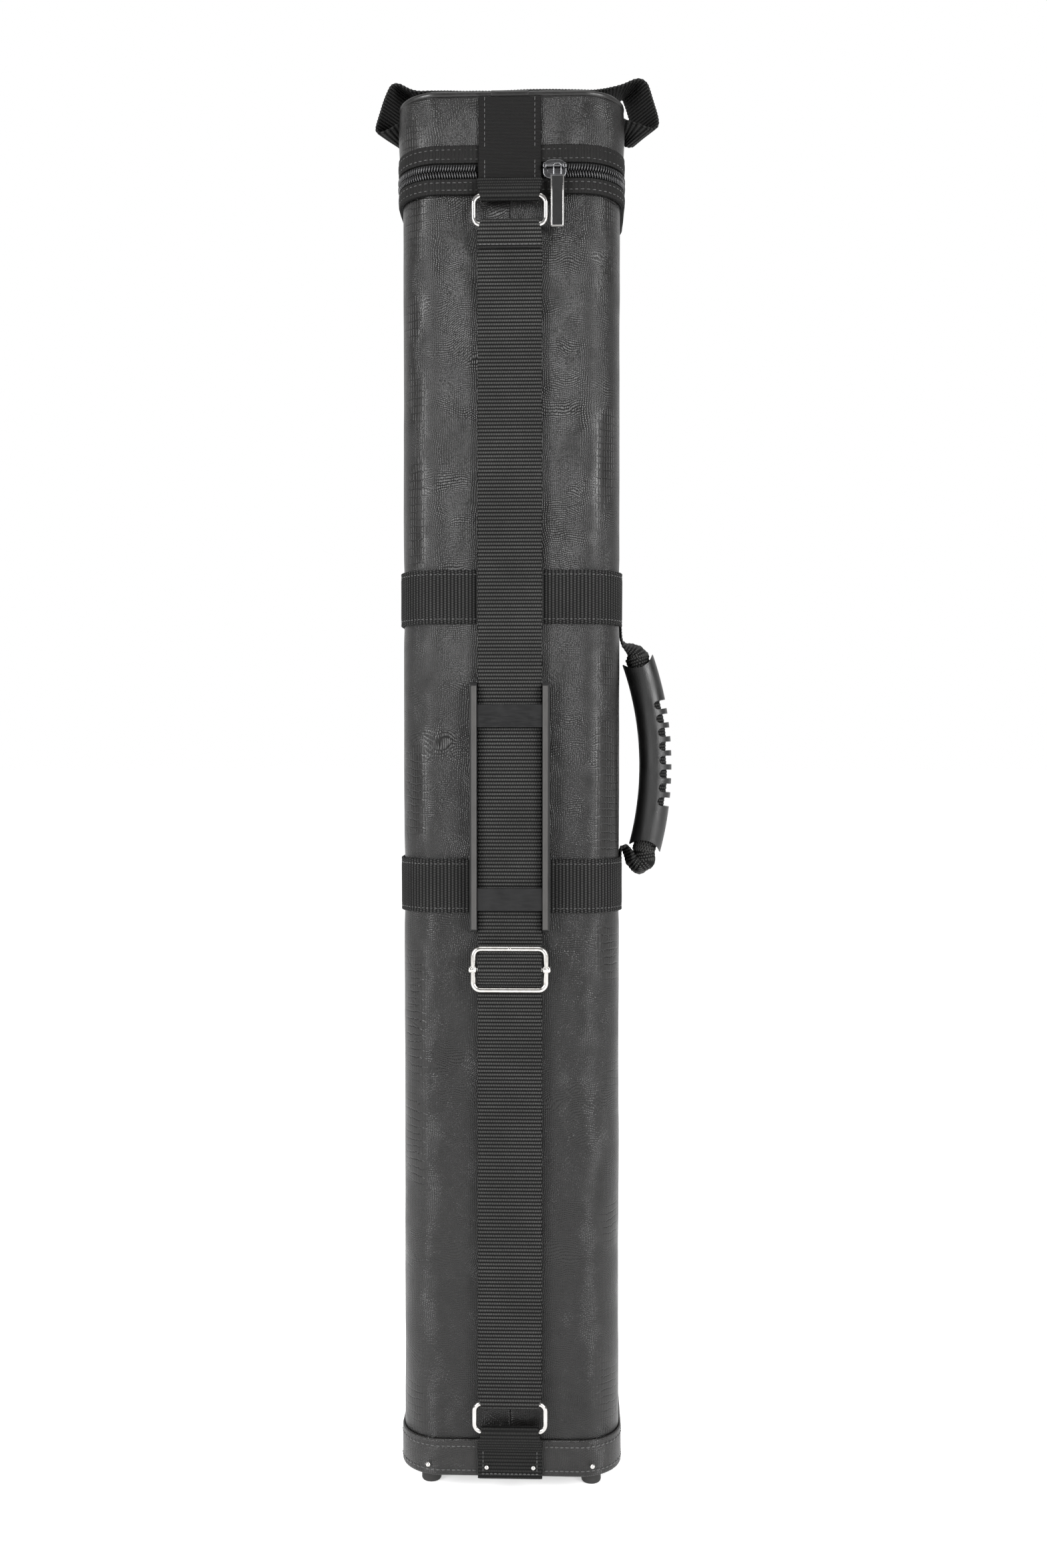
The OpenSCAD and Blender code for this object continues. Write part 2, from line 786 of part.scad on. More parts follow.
module grip_shell(side)
{
    difference()
    {
        along_grip(-grip_angle / 2, grip_angle / 2) intersection()
        {
            difference()
            {
                grip_section(grip_t, grip_w);
                grip_section(grip_t - 2 * grip_wall, grip_w - 2 * grip_wall);
            }
            translate([side > 0 ? 0 : -grip_t, -grip_w]) square([grip_t, 2 * grip_w]);
        }
        for (s = [-1, 1]) at_grip(s * grip_angle / 2)
            translate([0, 0, s * (end_dip_r - end_dip)]) rotate([90, 0, 0])
                cylinder(r = end_dip_r, h = 2 * grip_w, center = true);
    }
}

module grip_inner() color([0.1, 0.1, 0.1]) grip_shell(-1);

module grip_outer()
{
    pitch_angle = slot_pitch / (grip_curve + grip_t / 2) * 180 / PI;
    slot_x = grip_t / 2 - slot_d + slot_w / 2;
    color([0.2, 0.19, 0.19]) difference()
    {
        grip_shell(1);
        for (k = [0 : slot_n - 1]) at_grip((k - (slot_n - 1) / 2) * pitch_angle)
        {
            block([slot_x, grip_t], [-grip_w, grip_w], [-slot_w / 2, slot_w / 2]);
            translate([slot_x, 0, 0]) rotate([90, 0, 0])
                cylinder(d = slot_w, h = 2 * grip_w, center = true);
        }
    }
}

// Rolled webbing inside the grip, which shows at both of its ends
module grip_webbing()
{
    up = core_up / grip_curve * 180 / PI;
    down = core_down / grip_curve * 180 / PI;
    color([0.1, 0.1, 0.1]) along_grip(-grip_angle / 2 - down, grip_angle / 2 + up)
        grip_section(core_t, core_w);
}

// ---- drawing ----

body_shell();
body_wrap();
body_lining();
base_block();
base_pad();
tube_plate();
butt_tube(1);  // butt_tube_1
butt_tube(2);  // butt_tube_2
butt_tube(3);  // butt_tube_3
butt_tube(4);  // butt_tube_4
shaft_tubes(-1);  // shaft_tubes_left
shaft_tubes(1);  // shaft_tubes_right
bottom_cap();
feet();
foot_screws();
cap_tacks();
bottom_patch();
band(band_lower_z);  // band_lower
band(band_upper_z);  // band_upper
webbing_tab(band_lower_z + band_w, band_lower_z + band_w + tab_l);  // webbing_tab_lower
webbing_tab(band_upper_z - tab_l, band_upper_z);  // webbing_tab_upper
zip_tape_lower();
coil(zip_z - chain_half, zip_z - zip_gap / 2);  // zip_coil_lower
binding_lower();
hinge_tape_lower();
ring_loop();
strap_back();
strap_front();
lid_wall();
lid_wrap();
lid_board();
lid_pad();
lid_lining();
lid_top();
piping();
piping_sleeve();
top_handle();
zip_tape_upper();
coil(zip_z + zip_gap / 2, zip_z + chain_half);  // zip_coil_upper
binding_upper();
hinge_tape_upper();
zip_slider();
pull_frame();
pull_insert();
ring(ring_high_z);  // top_ring
strap_eye_upper();
ring(ring_low_z);  // bottom_ring
strap_eye_lower();
pad_base();
pad_rails();
pad_plate(pad_z + plate_inset);  // pad_plate_lower
pad_plate(pad_z + pad_l - plate_inset - plate_h);  // pad_plate_upper
buckle_frame();
buckle_bar();
strap_hump();
grip_inner();
grip_outer();
grip_webbing();
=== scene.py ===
from math import cos, hypot, pi, radians, sin

import bmesh
import bpy
from mathutils import Matrix, Vector, noise


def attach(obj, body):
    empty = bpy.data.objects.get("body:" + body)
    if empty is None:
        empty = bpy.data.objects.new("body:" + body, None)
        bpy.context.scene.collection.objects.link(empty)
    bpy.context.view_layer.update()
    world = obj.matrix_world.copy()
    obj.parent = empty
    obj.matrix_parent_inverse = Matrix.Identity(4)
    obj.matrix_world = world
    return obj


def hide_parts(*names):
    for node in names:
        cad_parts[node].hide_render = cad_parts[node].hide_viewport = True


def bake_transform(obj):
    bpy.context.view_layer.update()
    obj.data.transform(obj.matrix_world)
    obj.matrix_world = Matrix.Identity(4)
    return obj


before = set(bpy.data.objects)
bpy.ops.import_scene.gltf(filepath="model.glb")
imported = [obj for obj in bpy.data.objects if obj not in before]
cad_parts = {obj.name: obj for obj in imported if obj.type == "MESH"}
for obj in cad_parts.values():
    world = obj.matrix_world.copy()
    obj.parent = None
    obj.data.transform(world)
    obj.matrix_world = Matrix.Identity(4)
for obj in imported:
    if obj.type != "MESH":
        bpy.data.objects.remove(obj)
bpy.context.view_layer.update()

# ---- Studio ----
# A pale floor in a pale room that is dimmer in front of the case than behind it. The floor also
# glows with painted light of its own, fainter in front of the case and full behind it. Two tall soft
# boxes stand in front and to the sides, one upright highlight for each rounded corner. The camera
# stands level with the case's middle.
camera_at = Vector((0.0345, -0.950, 0.450))
camera_lens = 34.8
camera_aim = Vector((0.0080, -0.045, 0.4283))
floor_reach = 30.0
floor_dim_from, floor_lit_from = -1300.0, -260.0
floor_shine = 0.50
box_side, box_front, box_high, box_aim = 1.42, -1.45, 1.05, 0.60
box_wide, box_tall, box_watts = 0.75, 1.3, 52.0

camera_data = bpy.data.cameras.new("camera")
camera_data.lens = camera_lens
camera_data.sensor_width = 36.0
camera_data.clip_start = 0.05
camera = bpy.data.objects.new("camera", camera_data)
camera.location = camera_at
camera.rotation_euler = (camera_aim - camera_at).to_track_quat("-Z", "Y").to_euler()
bpy.context.scene.collection.objects.link(camera)
bpy.context.scene.camera = camera
bpy.context.scene.view_settings.view_transform = "Standard"


def link_in(mat, socket, value):
    """Sets a socket to a value, or links another node's output to it."""
    if isinstance(value, bpy.types.NodeSocket):
        mat.node_tree.links.new(value, socket)
    else:
        socket.default_value = value


def add(mat, kind, out=0, **given):
    """Adds a node; small-letter names are its settings, capital ones its sockets."""
    node = mat.node_tree.nodes.new("ShaderNode" + kind)
    for key, value in given.items():
        if key[0].islower():
            setattr(node, key, value)
    for key, value in given.items():
        if not key[0].islower():
            link_in(mat, node.inputs[key.replace("_", " ")], value)
    return node.outputs[out]


def maths(mat, operation, *values):
    node = mat.node_tree.nodes.new("ShaderNodeMath")
    node.operation = operation
    for socket, value in zip(node.inputs, values):
        link_in(mat, socket, value)
    return node.outputs[0]


def vector(mat, operation, *values):
    node = mat.node_tree.nodes.new("ShaderNodeVectorMath")
    node.operation = operation
    for socket, value in zip(node.inputs, values):
        link_in(mat, socket, value)
    return node.outputs[0]


def rise(mat, value, low, high, to=(0.0, 1.0)):
    """A smooth step of a value between two levels."""
    return add(mat, "MapRange", interpolation_type="SMOOTHSTEP", Value=value, From_Min=low,
               From_Max=high, To_Min=to[0], To_Max=to[1])


def blend_of(mat, share, first, second):
    """A colour between two, by a share."""
    node = mat.node_tree.nodes.new("ShaderNodeMix")
    node.data_type = "RGBA"
    for index, value in ((0, share), (6, first), (7, second)):
        if isinstance(value, tuple) and len(value) == 3:
            value = (*value, 1.0)
        link_in(mat, node.inputs[index], value)
    return node.outputs[2]


def finish(name, rough=0.5, metal=0.0, gloss=0.5, coat=0.0, sheen=0.0):
    mat = bpy.data.materials.new(name)
    mat.use_nodes = True
    shader = mat.node_tree.nodes["Principled BSDF"]
    for socket, value in (("Roughness", rough), ("Metallic", metal), ("Specular IOR Level", gloss),
                          ("Coat Weight", coat), ("Sheen Weight", sheen)):
        shader.inputs[socket].default_value = value
    return mat


def paint(mat, colour=None, rough=None, height=None, depth=0.0001):
    """Plugs a colour, a roughness and a height of so many metres into the finish."""
    shader = mat.node_tree.nodes["Principled BSDF"]
    if colour is not None:
        if isinstance(colour, tuple) and len(colour) == 3:
            colour = (*colour, 1.0)
        link_in(mat, shader.inputs["Base Color"], colour)
    if rough is not None:
        link_in(mat, shader.inputs["Roughness"], rough)
    if height is not None:
        bump = add(mat, "Bump", Height=height, Distance=depth, Strength=1.0)
        link_in(mat, shader.inputs["Normal"], bump)
    return mat


def place_mm(mat, source="Object"):
    """The place on the piece in millimetres, from its own space or from its UV map."""
    return vector(mat, "MULTIPLY", add(mat, "TexCoord", out=source), (1000.0, 1000.0, 1000.0))


def mottle(mat, where, size, detail=2.0, out=0):
    """Even noise with lumps of a size in millimetres."""
    return add(mat, "TexNoise", out=out, Vector=where, Scale=1.0 / size, Detail=detail)


def stretched(mat, where, across, along, deep=1.0):
    return vector(mat, "MULTIPLY", where, (across, along, deep))


floor_paint = finish("floor_paint", 0.9, gloss=0.1)
floor_at = add(floor_paint, "SeparateXYZ", out=1, Vector=place_mm(floor_paint))
floor_lit = rise(floor_paint, floor_at, floor_dim_from, floor_lit_from)
pale = blend_of(floor_paint, mottle(floor_paint, place_mm(floor_paint), 300.0), (0.93, 0.93, 0.93),
                (0.91, 0.91, 0.91))
paint(floor_paint, pale)
# Painted light: the floor glows by itself, at about a third of its full glow in front of the case and
# at full glow behind it.
floor_glow = floor_paint.node_tree.nodes["Principled BSDF"]
link_in(floor_paint, floor_glow.inputs["Emission Color"],
        blend_of(floor_paint, floor_lit, (0.35, 0.35, 0.35), (1.0, 1.0, 1.0)))
floor_glow.inputs["Emission Strength"].default_value = floor_shine
sheet = bmesh.new()
bmesh.ops.create_grid(sheet, x_segments=1, y_segments=1, size=floor_reach)
floor_mesh = bpy.data.meshes.new("floor")
sheet.to_mesh(floor_mesh)
sheet.free()
floor_mesh.materials.append(floor_paint)
floor = bpy.data.objects.new("floor", floor_mesh)
bpy.context.scene.collection.objects.link(floor)

world = bpy.data.worlds.new("room")
world.use_nodes = True
sky = world.node_tree.nodes["Background"]
way = world.node_tree.nodes.new("ShaderNodeTexCoord")
split = world.node_tree.nodes.new("ShaderNodeSeparateXYZ")
fade = world.node_tree.nodes.new("ShaderNodeMapRange")
fade.interpolation_type = "SMOOTHSTEP"
for socket, value in (("From Min", -0.10), ("From Max", 0.80), ("To Min", 0.40), ("To Max", 1.0)):
    fade.inputs[socket].default_value = value
world.node_tree.links.new(way.outputs["Generated"], split.inputs[0])
world.node_tree.links.new(split.outputs[1], fade.inputs["Value"])
world.node_tree.links.new(fade.outputs[0], sky.inputs["Strength"])
sky.inputs["Color"].default_value = (1.0, 1.0, 1.0, 1.0)
bpy.context.scene.world = world


def soft_box(name, at, aim, wide, high, watts):
    lamp = bpy.data.lights.new(name, "AREA")
    lamp.shape, lamp.size, lamp.size_y, lamp.energy = "RECTANGLE", wide, high, watts
    holder = bpy.data.objects.new(name, lamp)
    holder.location = at
    holder.rotation_euler = (Vector(aim) - Vector(at)).to_track_quat("-Z", "Y").to_euler()
    holder.visible_camera = False
    bpy.context.scene.collection.objects.link(holder)


for name, side in (("soft_box_left", -1), ("soft_box_right", 1)):
    soft_box(name, (side * box_side, box_front, box_high), (0.0, 0.0, box_aim), box_wide, box_tall,
             box_watts)
soft_box("soft_box_above", (0.0, -0.5, 2.6), (0.0, 0.0, 0.8), 1.2, 1.2, 12.0)

# ---- Leatherette wrap ----
# The box's skin: black leatherette with a pressed lizard grain, glued round the board in one
# piece and butted down the middle of the strap's face. It swells a little between the bands.
case_w, case_t, corner = 132.004, 90.0, 25.0
wrap_low, wrap_high = 12.4, 789.6
wrap_thick = 1.0
corner_turn = pi * corner / 2
case_round = 2 * (case_w + case_t) - 8 * corner + 4 * corner_turn
column_step, row_step = 2.6, 3.0


def case_edge(s, out=0.0, wide=case_w, deep=case_t, bend=corner):
    """A point of a rounded outline, s millimetres round from the middle of its front, and the
    way out there. Left to itself it follows the case's own outline."""
    turning = pi * bend / 2
    flats = (wide / 2 - bend, deep - 2 * bend, wide - 2 * bend, deep - 2 * bend, wide / 2 - bend)
    here, ahead = Vector((0.0, -deep / 2)), Vector((1.0, 0.0))
    s %= sum(flats) + 4 * turning
    for k, flat in enumerate(flats):
        away = Vector((ahead.y, -ahead.x))
        if s <= flat or k == 4:
            return here + ahead * s + away * out, away
        here, s = here + ahead * flat, s - flat
        middle = here - away * bend
        if s <= turning:
            away = Matrix.Rotation(s / bend, 2) @ away
            return middle + away * (bend + out), away
        s -= turning
        ahead = Vector((-ahead.y, ahead.x))
        here = middle + Vector((ahead.y, -ahead.x)) * bend


def round_columns(step):
    """Even steps round the case."""
    count = round(case_round / step)
    return [case_round * k / count for k in range(count + 1)]


def settle(bm, name, material, slot, smooth=True, turn=True):
    """Makes a finished piece of a mesh in millimetres."""
    bmesh.ops.remove_doubles(bm, verts=bm.verts, dist=0.0005)
    if turn:
        bmesh.ops.recalc_face_normals(bm, faces=bm.faces)
    bmesh.ops.scale(bm, vec=(0.001, 0.001, 0.001), verts=bm.verts)
    for face in bm.faces:
        face.smooth = smooth
    mesh = bpy.data.meshes.new(name)
    bm.to_mesh(mesh)
    bm.free()
    for one in material if isinstance(material, (list, tuple)) else (material,):
        mesh.materials.append(one)
    piece = bpy.data.objects.new(name, mesh)
    bpy.context.scene.collection.objects.link(piece)
    return piece


def grid_piece(columns, rows, place, uv):
    """A grid whose points go where place(i, j) says, with its own UV map in metres."""
    bm = bmesh.new()
    bmesh.ops.create_grid(bm, x_segments=columns, y_segments=rows, size=1.0)
    bm.verts.ensure_lookup_table()
    index = {v: (k % (columns + 1), k // (columns + 1)) for k, v in enumerate(bm.verts)}
    layer = bm.loops.layers.uv.new("UVMap")
    for face in bm.faces:
        for loop in face.loops:
            u, v = uv(*index[loop.vert])
            loop[layer].uv = (u / 1000, v / 1000)
    for vert, (i, j) in index.items():
        vert.co = place(i, j)
    return bm


def round_case(profile, columns, shape=None):
    """Sweeps a closed profile of (out, z, share of the way to the axis) round the case."""
    runs = [0.0]
    for a, b in zip(profile, profile[1:]):
        runs.append(runs[-1] + hypot(b[0] - a[0], b[1] - a[1]) + 40 * abs(b[2] - a[2]))

    def place(i, j):
        out, z, inward = profile[j]
        s = columns[i]
        if shape:
            out, z = shape(s, out, z)
        point = case_edge(s, out)[0]
        return (point.x * (1 - inward), point.y * (1 - inward), z)

    return grid_piece(len(columns) - 1, len(profile) - 1, place,
                      lambda i, j: (columns[i], profile[0][1] + runs[j]))


def steps(low, high, step):
    count = max(1, round(abs(high - low) / step))
    return [low + (high - low) * k / count for k in range(count + 1)]


def rounded(points, radius, parts=3):
    """A closed profile of (out, z) with its corners rounded, ending where it starts."""
    full, count = [], len(points)
    for k, (x, z) in enumerate(points):
        here = Vector((x, z))
        before, after = Vector(points[k - 1]) - here, Vector(points[(k + 1) % count]) - here
        reach = min(radius, before.length / 2.01, after.length / 2.01)
        start, end = here + before.normalized() * reach, here + after.normalized() * reach
        for m in range(parts + 1):
            t = m / parts
            full.append(start * (1 - t) ** 2 + here * 2 * t * (1 - t) + end * t * t)
    full.append(full[0])
    return [(p.x, p.y, 0.0) for p in full]


def lizard_grain(name, slats=True, tone=(0.0075, 0.0071, 0.0068)):
    """Pressed leatherette: pebbles of about a millimetre in drifting rows, slats by the corners,
    long soft wrinkles. The gaps between pebbles and the creases are coloured darker as painted shade."""
    mat = finish(name, 0.34, gloss=0.36)
    skin = place_mm(mat, "UV")
    drift = vector(mat, "MULTIPLY", vector(mat, "SUBTRACT", mottle(mat, skin, 46.0, 2.0, 1),
                                           (0.5, 0.5, 0.5)), (14.0, 34.0, 0.0))
    flow = vector(mat, "ADD", skin, drift)
    pebble_at = stretched(mat, flow, 1 / 1.18, 1 / 0.98)
    pebbles = add(mat, "TexVoronoi", voronoi_dimensions="2D", feature="DISTANCE_TO_EDGE",
                  Vector=pebble_at, Scale=1.0, Randomness=0.42)
    height = rise(mat, pebbles, 0.0, 0.46)
    if slats:
        apart = add(mat, "SeparateXYZ", Vector=skin)
        round_way = maths(mat, "PINGPONG", apart, case_round / 2)
        near = rise(mat, maths(mat, "ABSOLUTE", maths(mat, "SUBTRACT", round_way, 62.0)), 7.0, 15.0,
                    (1.0, 0.0))
        patchy = rise(mat, mottle(mat, skin, 75.0, 1.0), 0.42, 0.55)
        slat_drift = vector(mat, "MULTIPLY", drift, (0.18, 0.30, 0.0))
        slat_at = stretched(mat, vector(mat, "ADD", skin, slat_drift), 1 / 2.0, 1 / 4.4)
        slat = add(mat, "TexVoronoi", voronoi_dimensions="2D", feature="DISTANCE_TO_EDGE",
                   Vector=slat_at, Scale=1.0, Randomness=0.22)
        height = add(mat, "Mix", Factor=maths(mat, "MULTIPLY", near, patchy), A=height,
                     B=rise(mat, slat, 0.0, 0.16))
    crease_drift = vector(mat, "MULTIPLY", drift, (1.2, 1.1, 0.0))
    crease_at = stretched(mat, vector(mat, "ADD", skin, crease_drift), 1 / 24.0, 1 / 9.0)
    crease = add(mat, "TexVoronoi", voronoi_dimensions="2D", feature="DISTANCE_TO_EDGE",
                 Vector=crease_at, Scale=1.0, Randomness=0.9)
    folds = maths(mat, "MULTIPLY", rise(mat, crease, 0.0, 0.07, (1.0, 0.0)),
                  rise(mat, mottle(mat, skin, 60.0, 1.0), 0.48, 0.66))
    height = maths(mat, "SUBTRACT", height, maths(mat, "MULTIPLY", folds, 0.45))
    height = maths(mat, "ADD", height, maths(mat, "MULTIPLY", mottle(mat, skin, 5.0, 3.0), 0.9))
    # Painted shade: the colour follows the grain's height, so the gaps between pebbles and the creases
    # go down to about a twelfth of the tone, while the pebble tops keep the full tone.
    tint = blend_of(mat, rise(mat, height, 0.25, 1.35), tuple(0.08 * c for c in tone), tone)
    tint = blend_of(mat, maths(mat, "MULTIPLY", mottle(mat, skin, 90.0, 3.0), 0.5), tint,
                    tuple(1.1 * c for c in tone))
    return paint(mat, tint, rise(mat, mottle(mat, skin, 22.0, 3.0), 0.3, 0.7, (0.26, 0.37)), height,
                 0.00015)


def wrap_swell(s, out, z):
    """The skin lies in soft waves, is drawn in under the bands and dips at its butt joint."""
    if out < -0.5:
        return out, z
    point = Vector((s / 48.0, z / 70.0, 3.0))
    wave = 0.30 * noise.noise(point) + 0.12 * noise.noise(point * 3.1)
    for low in (351.3, 524.0):
        gap = min(abs(z - low), abs(z - low - 31.75))
        inside = low < z < low + 31.75
        wave -= 0.25 if inside else 0.25 * max(0.0, 1 - gap / 9.0)
    reach = min(s, case_round - s)
    return out + wave - 0.15 - 0.55 * max(0.0, 1 - reach / 0.7), z


leather = lizard_grain("leatherette")
skin_columns = sorted(set(round_columns(column_step)[1:-1]) | {0.0, 0.35, 0.7, case_round - 0.7,
                                                              case_round - 0.35, case_round})
skin_profile = [(0.0, z, 0.0) for z in steps(wrap_low, wrap_high, row_step)]
skin_profile += [(-wrap_thick, z, 0.0) for z in steps(wrap_high, wrap_low, 150.0)]
skin_profile.append(skin_profile[0])
wrap = settle(round_case(skin_profile, skin_columns, wrap_swell), "case_wrap", leather, "leatherette")
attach(wrap, "case_body")
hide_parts("body_wrap")

# ---- Board, lining and tubes ----
# What the lid hides: a fibreboard box with a wooden base block, black felt inside, plastic tubes
# for four butts and eight shafts held by a plate round their tops, all standing on foam.
board = finish("fibreboard", 0.85, gloss=0.2)
grain_at = stretched(board, place_mm(board), 1.0, 1.0, 0.25)
paint(board, blend_of(board, rise(board, mottle(board, grain_at, 1.6, 4.0), 0.3, 0.7),
                      (0.20, 0.125, 0.07), (0.33, 0.225, 0.135)), None,
      mottle(board, grain_at, 1.2, 3.0), 0.0001)
felt = finish("felt", 0.95, gloss=0.15, sheen=0.35)
paint(felt, blend_of(felt, mottle(felt, place_mm(felt), 0.7, 4.0), (0.008, 0.008, 0.009),
                     (0.035, 0.034, 0.036)), None, mottle(felt, place_mm(felt), 0.45, 4.0), 0.0003)
foam = finish("foam", 0.95, gloss=0.1)
foam_cells = add(foam, "TexVoronoi", Vector=place_mm(foam), Scale=1.1)
paint(foam, blend_of(foam, foam_cells, (0.02, 0.02, 0.021), (0.055, 0.055, 0.057)), None,
      foam_cells, 0.0004)
tube_plastic = finish("tube_plastic", 0.42, gloss=0.45)
tube_at = place_mm(tube_plastic)
paint(tube_plastic, blend_of(tube_plastic, mottle(tube_plastic, tube_at, 14.0, 3.0),
                             (0.012, 0.012, 0.013), (0.022, 0.022, 0.023)),
      rise(tube_plastic, mottle(tube_plastic, stretched(tube_plastic, tube_at, 1.0, 1.0, 0.05), 1.2,
                                3.0), 0.3, 0.7, (0.34, 0.52)),
      mottle(tube_plastic, stretched(tube_plastic, tube_at, 1.0, 1.0, 0.05), 0.6), 0.00002)
trim_plastic = finish("trim_plastic", 0.5, gloss=0.45)
trim_at = place_mm(trim_plastic)
paint(trim_plastic, blend_of(trim_plastic, mottle(trim_plastic, trim_at, 9.0, 3.0),
                             (0.016, 0.016, 0.017), (0.028, 0.028, 0.029)),
      rise(trim_plastic, mottle(trim_plastic, trim_at, 3.0, 3.0), 0.3, 0.7, (0.42, 0.60)),
      mottle(trim_plastic, trim_at, 0.25, 2.0), 0.00006)


def coat_node(material, *names):
    """Gives moulded parts their finish in place of the plain one."""
    for name in names:
        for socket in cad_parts[name].material_slots:
            socket.material = material


coat_node(board, "body_shell", "base_block", "lid_wall", "lid_board")
coat_node(felt, "body_lining", "lid_lining")
coat_node(foam, "base_pad", "lid_pad")
coat_node(tube_plastic, "butt_tube_1", "butt_tube_2", "butt_tube_3", "butt_tube_4",
          "shaft_tubes_left", "shaft_tubes_right")
coat_node(trim_plastic, "tube_plate")

# ---- Bottom cap ----
# A shallow tray of the same leatherette over board, pushed up over the case's lower end, turned
# in at its upper edge and sewn with two rows of black thread.
cap_low, cap_high, cap_out = 10.4, 32.8, 1.5
stitch_pitch, stitch_long, stitch_thick = 3.1, 2.3, 0.30
cap_leather = lizard_grain("cap_leatherette", False, (0.0115, 0.0108, 0.0104))
thread = finish("black_thread", 0.55, gloss=0.5, sheen=0.3)
twist_at = stretched(thread, place_mm(thread), 5.0, 5.0, 5.0)
paint(thread, blend_of(thread, mottle(thread, place_mm(thread), 0.5), (0.014, 0.014, 0.014),
                       (0.05, 0.05, 0.05)), None, mottle(thread, twist_at, 1.0), 0.00004)


def cap_swell(s, out, z):
    if out < 0.4:
        return out, z
    dip = max(exp_dip(z - 28.5), exp_dip(z - 14.0))
    wave = 0.14 * noise.noise(Vector((s / 30.0, z / 18.0, 9.0)))
    return out + wave - 0.22 * dip * (0.75 + 0.25 * cos(2 * pi * s / stitch_pitch)), z


def exp_dip(gap):
    return max(0.0, 1 - abs(gap) / 1.5)


cap_profile = [(0.0, cap_low, 1.0), (0.0, cap_low, 0.4), (0.6, cap_low, 0.0), (1.2, 10.7, 0.0)]
cap_profile += [(cap_out, z, 0.0) for z in steps(11.4, 31.6, 0.75)]
cap_profile += [(1.42, 32.2, 0.0), (1.1, 32.65, 0.0), (0.6, cap_high, 0.0), (0.15, 32.7, 0.0),
                (0.05, 32.2, 0.0), (0.05, 12.4, 0.0), (0.0, 12.4, 0.4), (0.0, 12.4, 1.0)]
cap = settle(round_case(cap_profile, round_columns(0.775 * 2), cap_swell), "cap", cap_leather,
             "leatherette")
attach(cap, "case_body")
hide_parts("bottom_cap")


def stitch_row(name, spots, body, long=stitch_long, thick=stitch_thick):
    """A row of thread lengths, each at a point, lying along one way with another way out."""
    bm = bmesh.new()
    for at, along, away in spots:
        along = Vector(along).normalized()
        away = (Vector(away) - along * Vector(away).dot(along)).normalized()
        turned = Matrix((along, away, along.cross(away))).transposed().to_4x4()
        bmesh.ops.create_uvsphere(bm, u_segments=6, v_segments=4, radius=1.0,
                                  matrix=Matrix.Translation(at) @ turned
                                  @ Matrix.Diagonal((long / 2, thick, thick * 1.3, 1.0))
                                  @ Matrix.Rotation(pi / 2, 4, "Y"))
    row = settle(bm, name, thread, "webbing")
    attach(row, body)
    return row


def spots_round(z, out, pitch=stitch_pitch, skip=None, slope=0.0):
    spots = []
    for s in round_columns(pitch)[:-1]:
        if skip and skip(s):
            continue
        point, away = case_edge(s, out + 0.06 * noise.noise(Vector((s, z, 1.0))))
        along = Vector((-away.y, away.x, slope))
        spots.append(((point.x, point.y, z + 0.12 * noise.noise(Vector((s * 1.7, z, 5.0)))), along,
                      (away.x, away.y, 0.0)))
    return spots


def behind_patch(s):
    return min(s, case_round - s) < 19.6


stitch_row("cap_stitches", spots_round(28.5, cap_out - 0.05, skip=behind_patch)
           + spots_round(14.0, cap_out - 0.05, skip=behind_patch), "case_body")

# ---- Feet ----
# Four turned rubber feet under the corners, each held by a pan-head screw into the base block.
foot_spots = [(sx * 49.0, sy * 28.0) for sx in (-1, 1) for sy in (-1, 1)]
rubber = finish("rubber", 0.72, gloss=0.35)
rubber_at = place_mm(rubber)
paint(rubber, blend_of(rubber, mottle(rubber, rubber_at, 2.5, 4.0), (0.012, 0.012, 0.012),
                       (0.030, 0.029, 0.028)), None, mottle(rubber, rubber_at, 0.4, 3.0), 0.00008)
steel = finish("screw_steel", 0.34, metal=1.0)
steel_at = place_mm(steel)
paint(steel, blend_of(steel, mottle(steel, steel_at, 1.2), (0.42, 0.42, 0.43), (0.62, 0.62, 0.63)),
      rise(steel, mottle(steel, steel_at, 0.8), 0.3, 0.7, (0.26, 0.44)))


def turned(name, profile, spots, material, slot, body, parts=32, tilt=None):
    """A turned piece: a line of (radius, height) spun about its axis, at each of several spots."""
    bm = bmesh.new()
    for spot in spots:
        line = [bm.verts.new((r, 0.0, z)) for r, z in profile]
        edges = [bm.edges.new(pair) for pair in zip(line, line[1:])]
        bmesh.ops.spin(bm, geom=line + edges, cent=(0, 0, 0), axis=(0, 0, 1), angle=2 * pi,
                       steps=parts, use_merge=True)
        own = [v for v in bm.verts if not v.tag]
        bmesh.ops.transform(bm, matrix=Matrix.Translation(spot) @ (tilt or Matrix()), verts=own)
        for v in own:
            v.tag = True
    piece = settle(bm, name, material, slot)
    if body:
        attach(piece, body)
    return piece


feet = turned("rubber_feet", [(0.0, 4.0), (3.4, 4.0), (3.5, 0.5), (3.9, 0.0), (4.7, 0.0), (5.4, 0.25),
                              (5.8, 0.7), (6.0, 1.4), (5.95, 6.0), (5.8, 9.6), (5.7, 10.35),
                              (0.0, 10.35)],
              [(x, y, 0.0) for x, y in foot_spots], rubber, "rubber", "case_body")
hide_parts("feet")
screws = turned("foot_screws_turned", [(0.0, 3.1), (0.7, 3.1), (0.9, 2.7), (1.6, 2.35), (2.7, 2.6),
                                       (3.15, 3.3), (3.2, 3.98), (0.0, 3.98)],
                [(x, y, 0.0) for x, y in foot_spots], steel, "steel", "case_body", 20)
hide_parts("foot_screws")

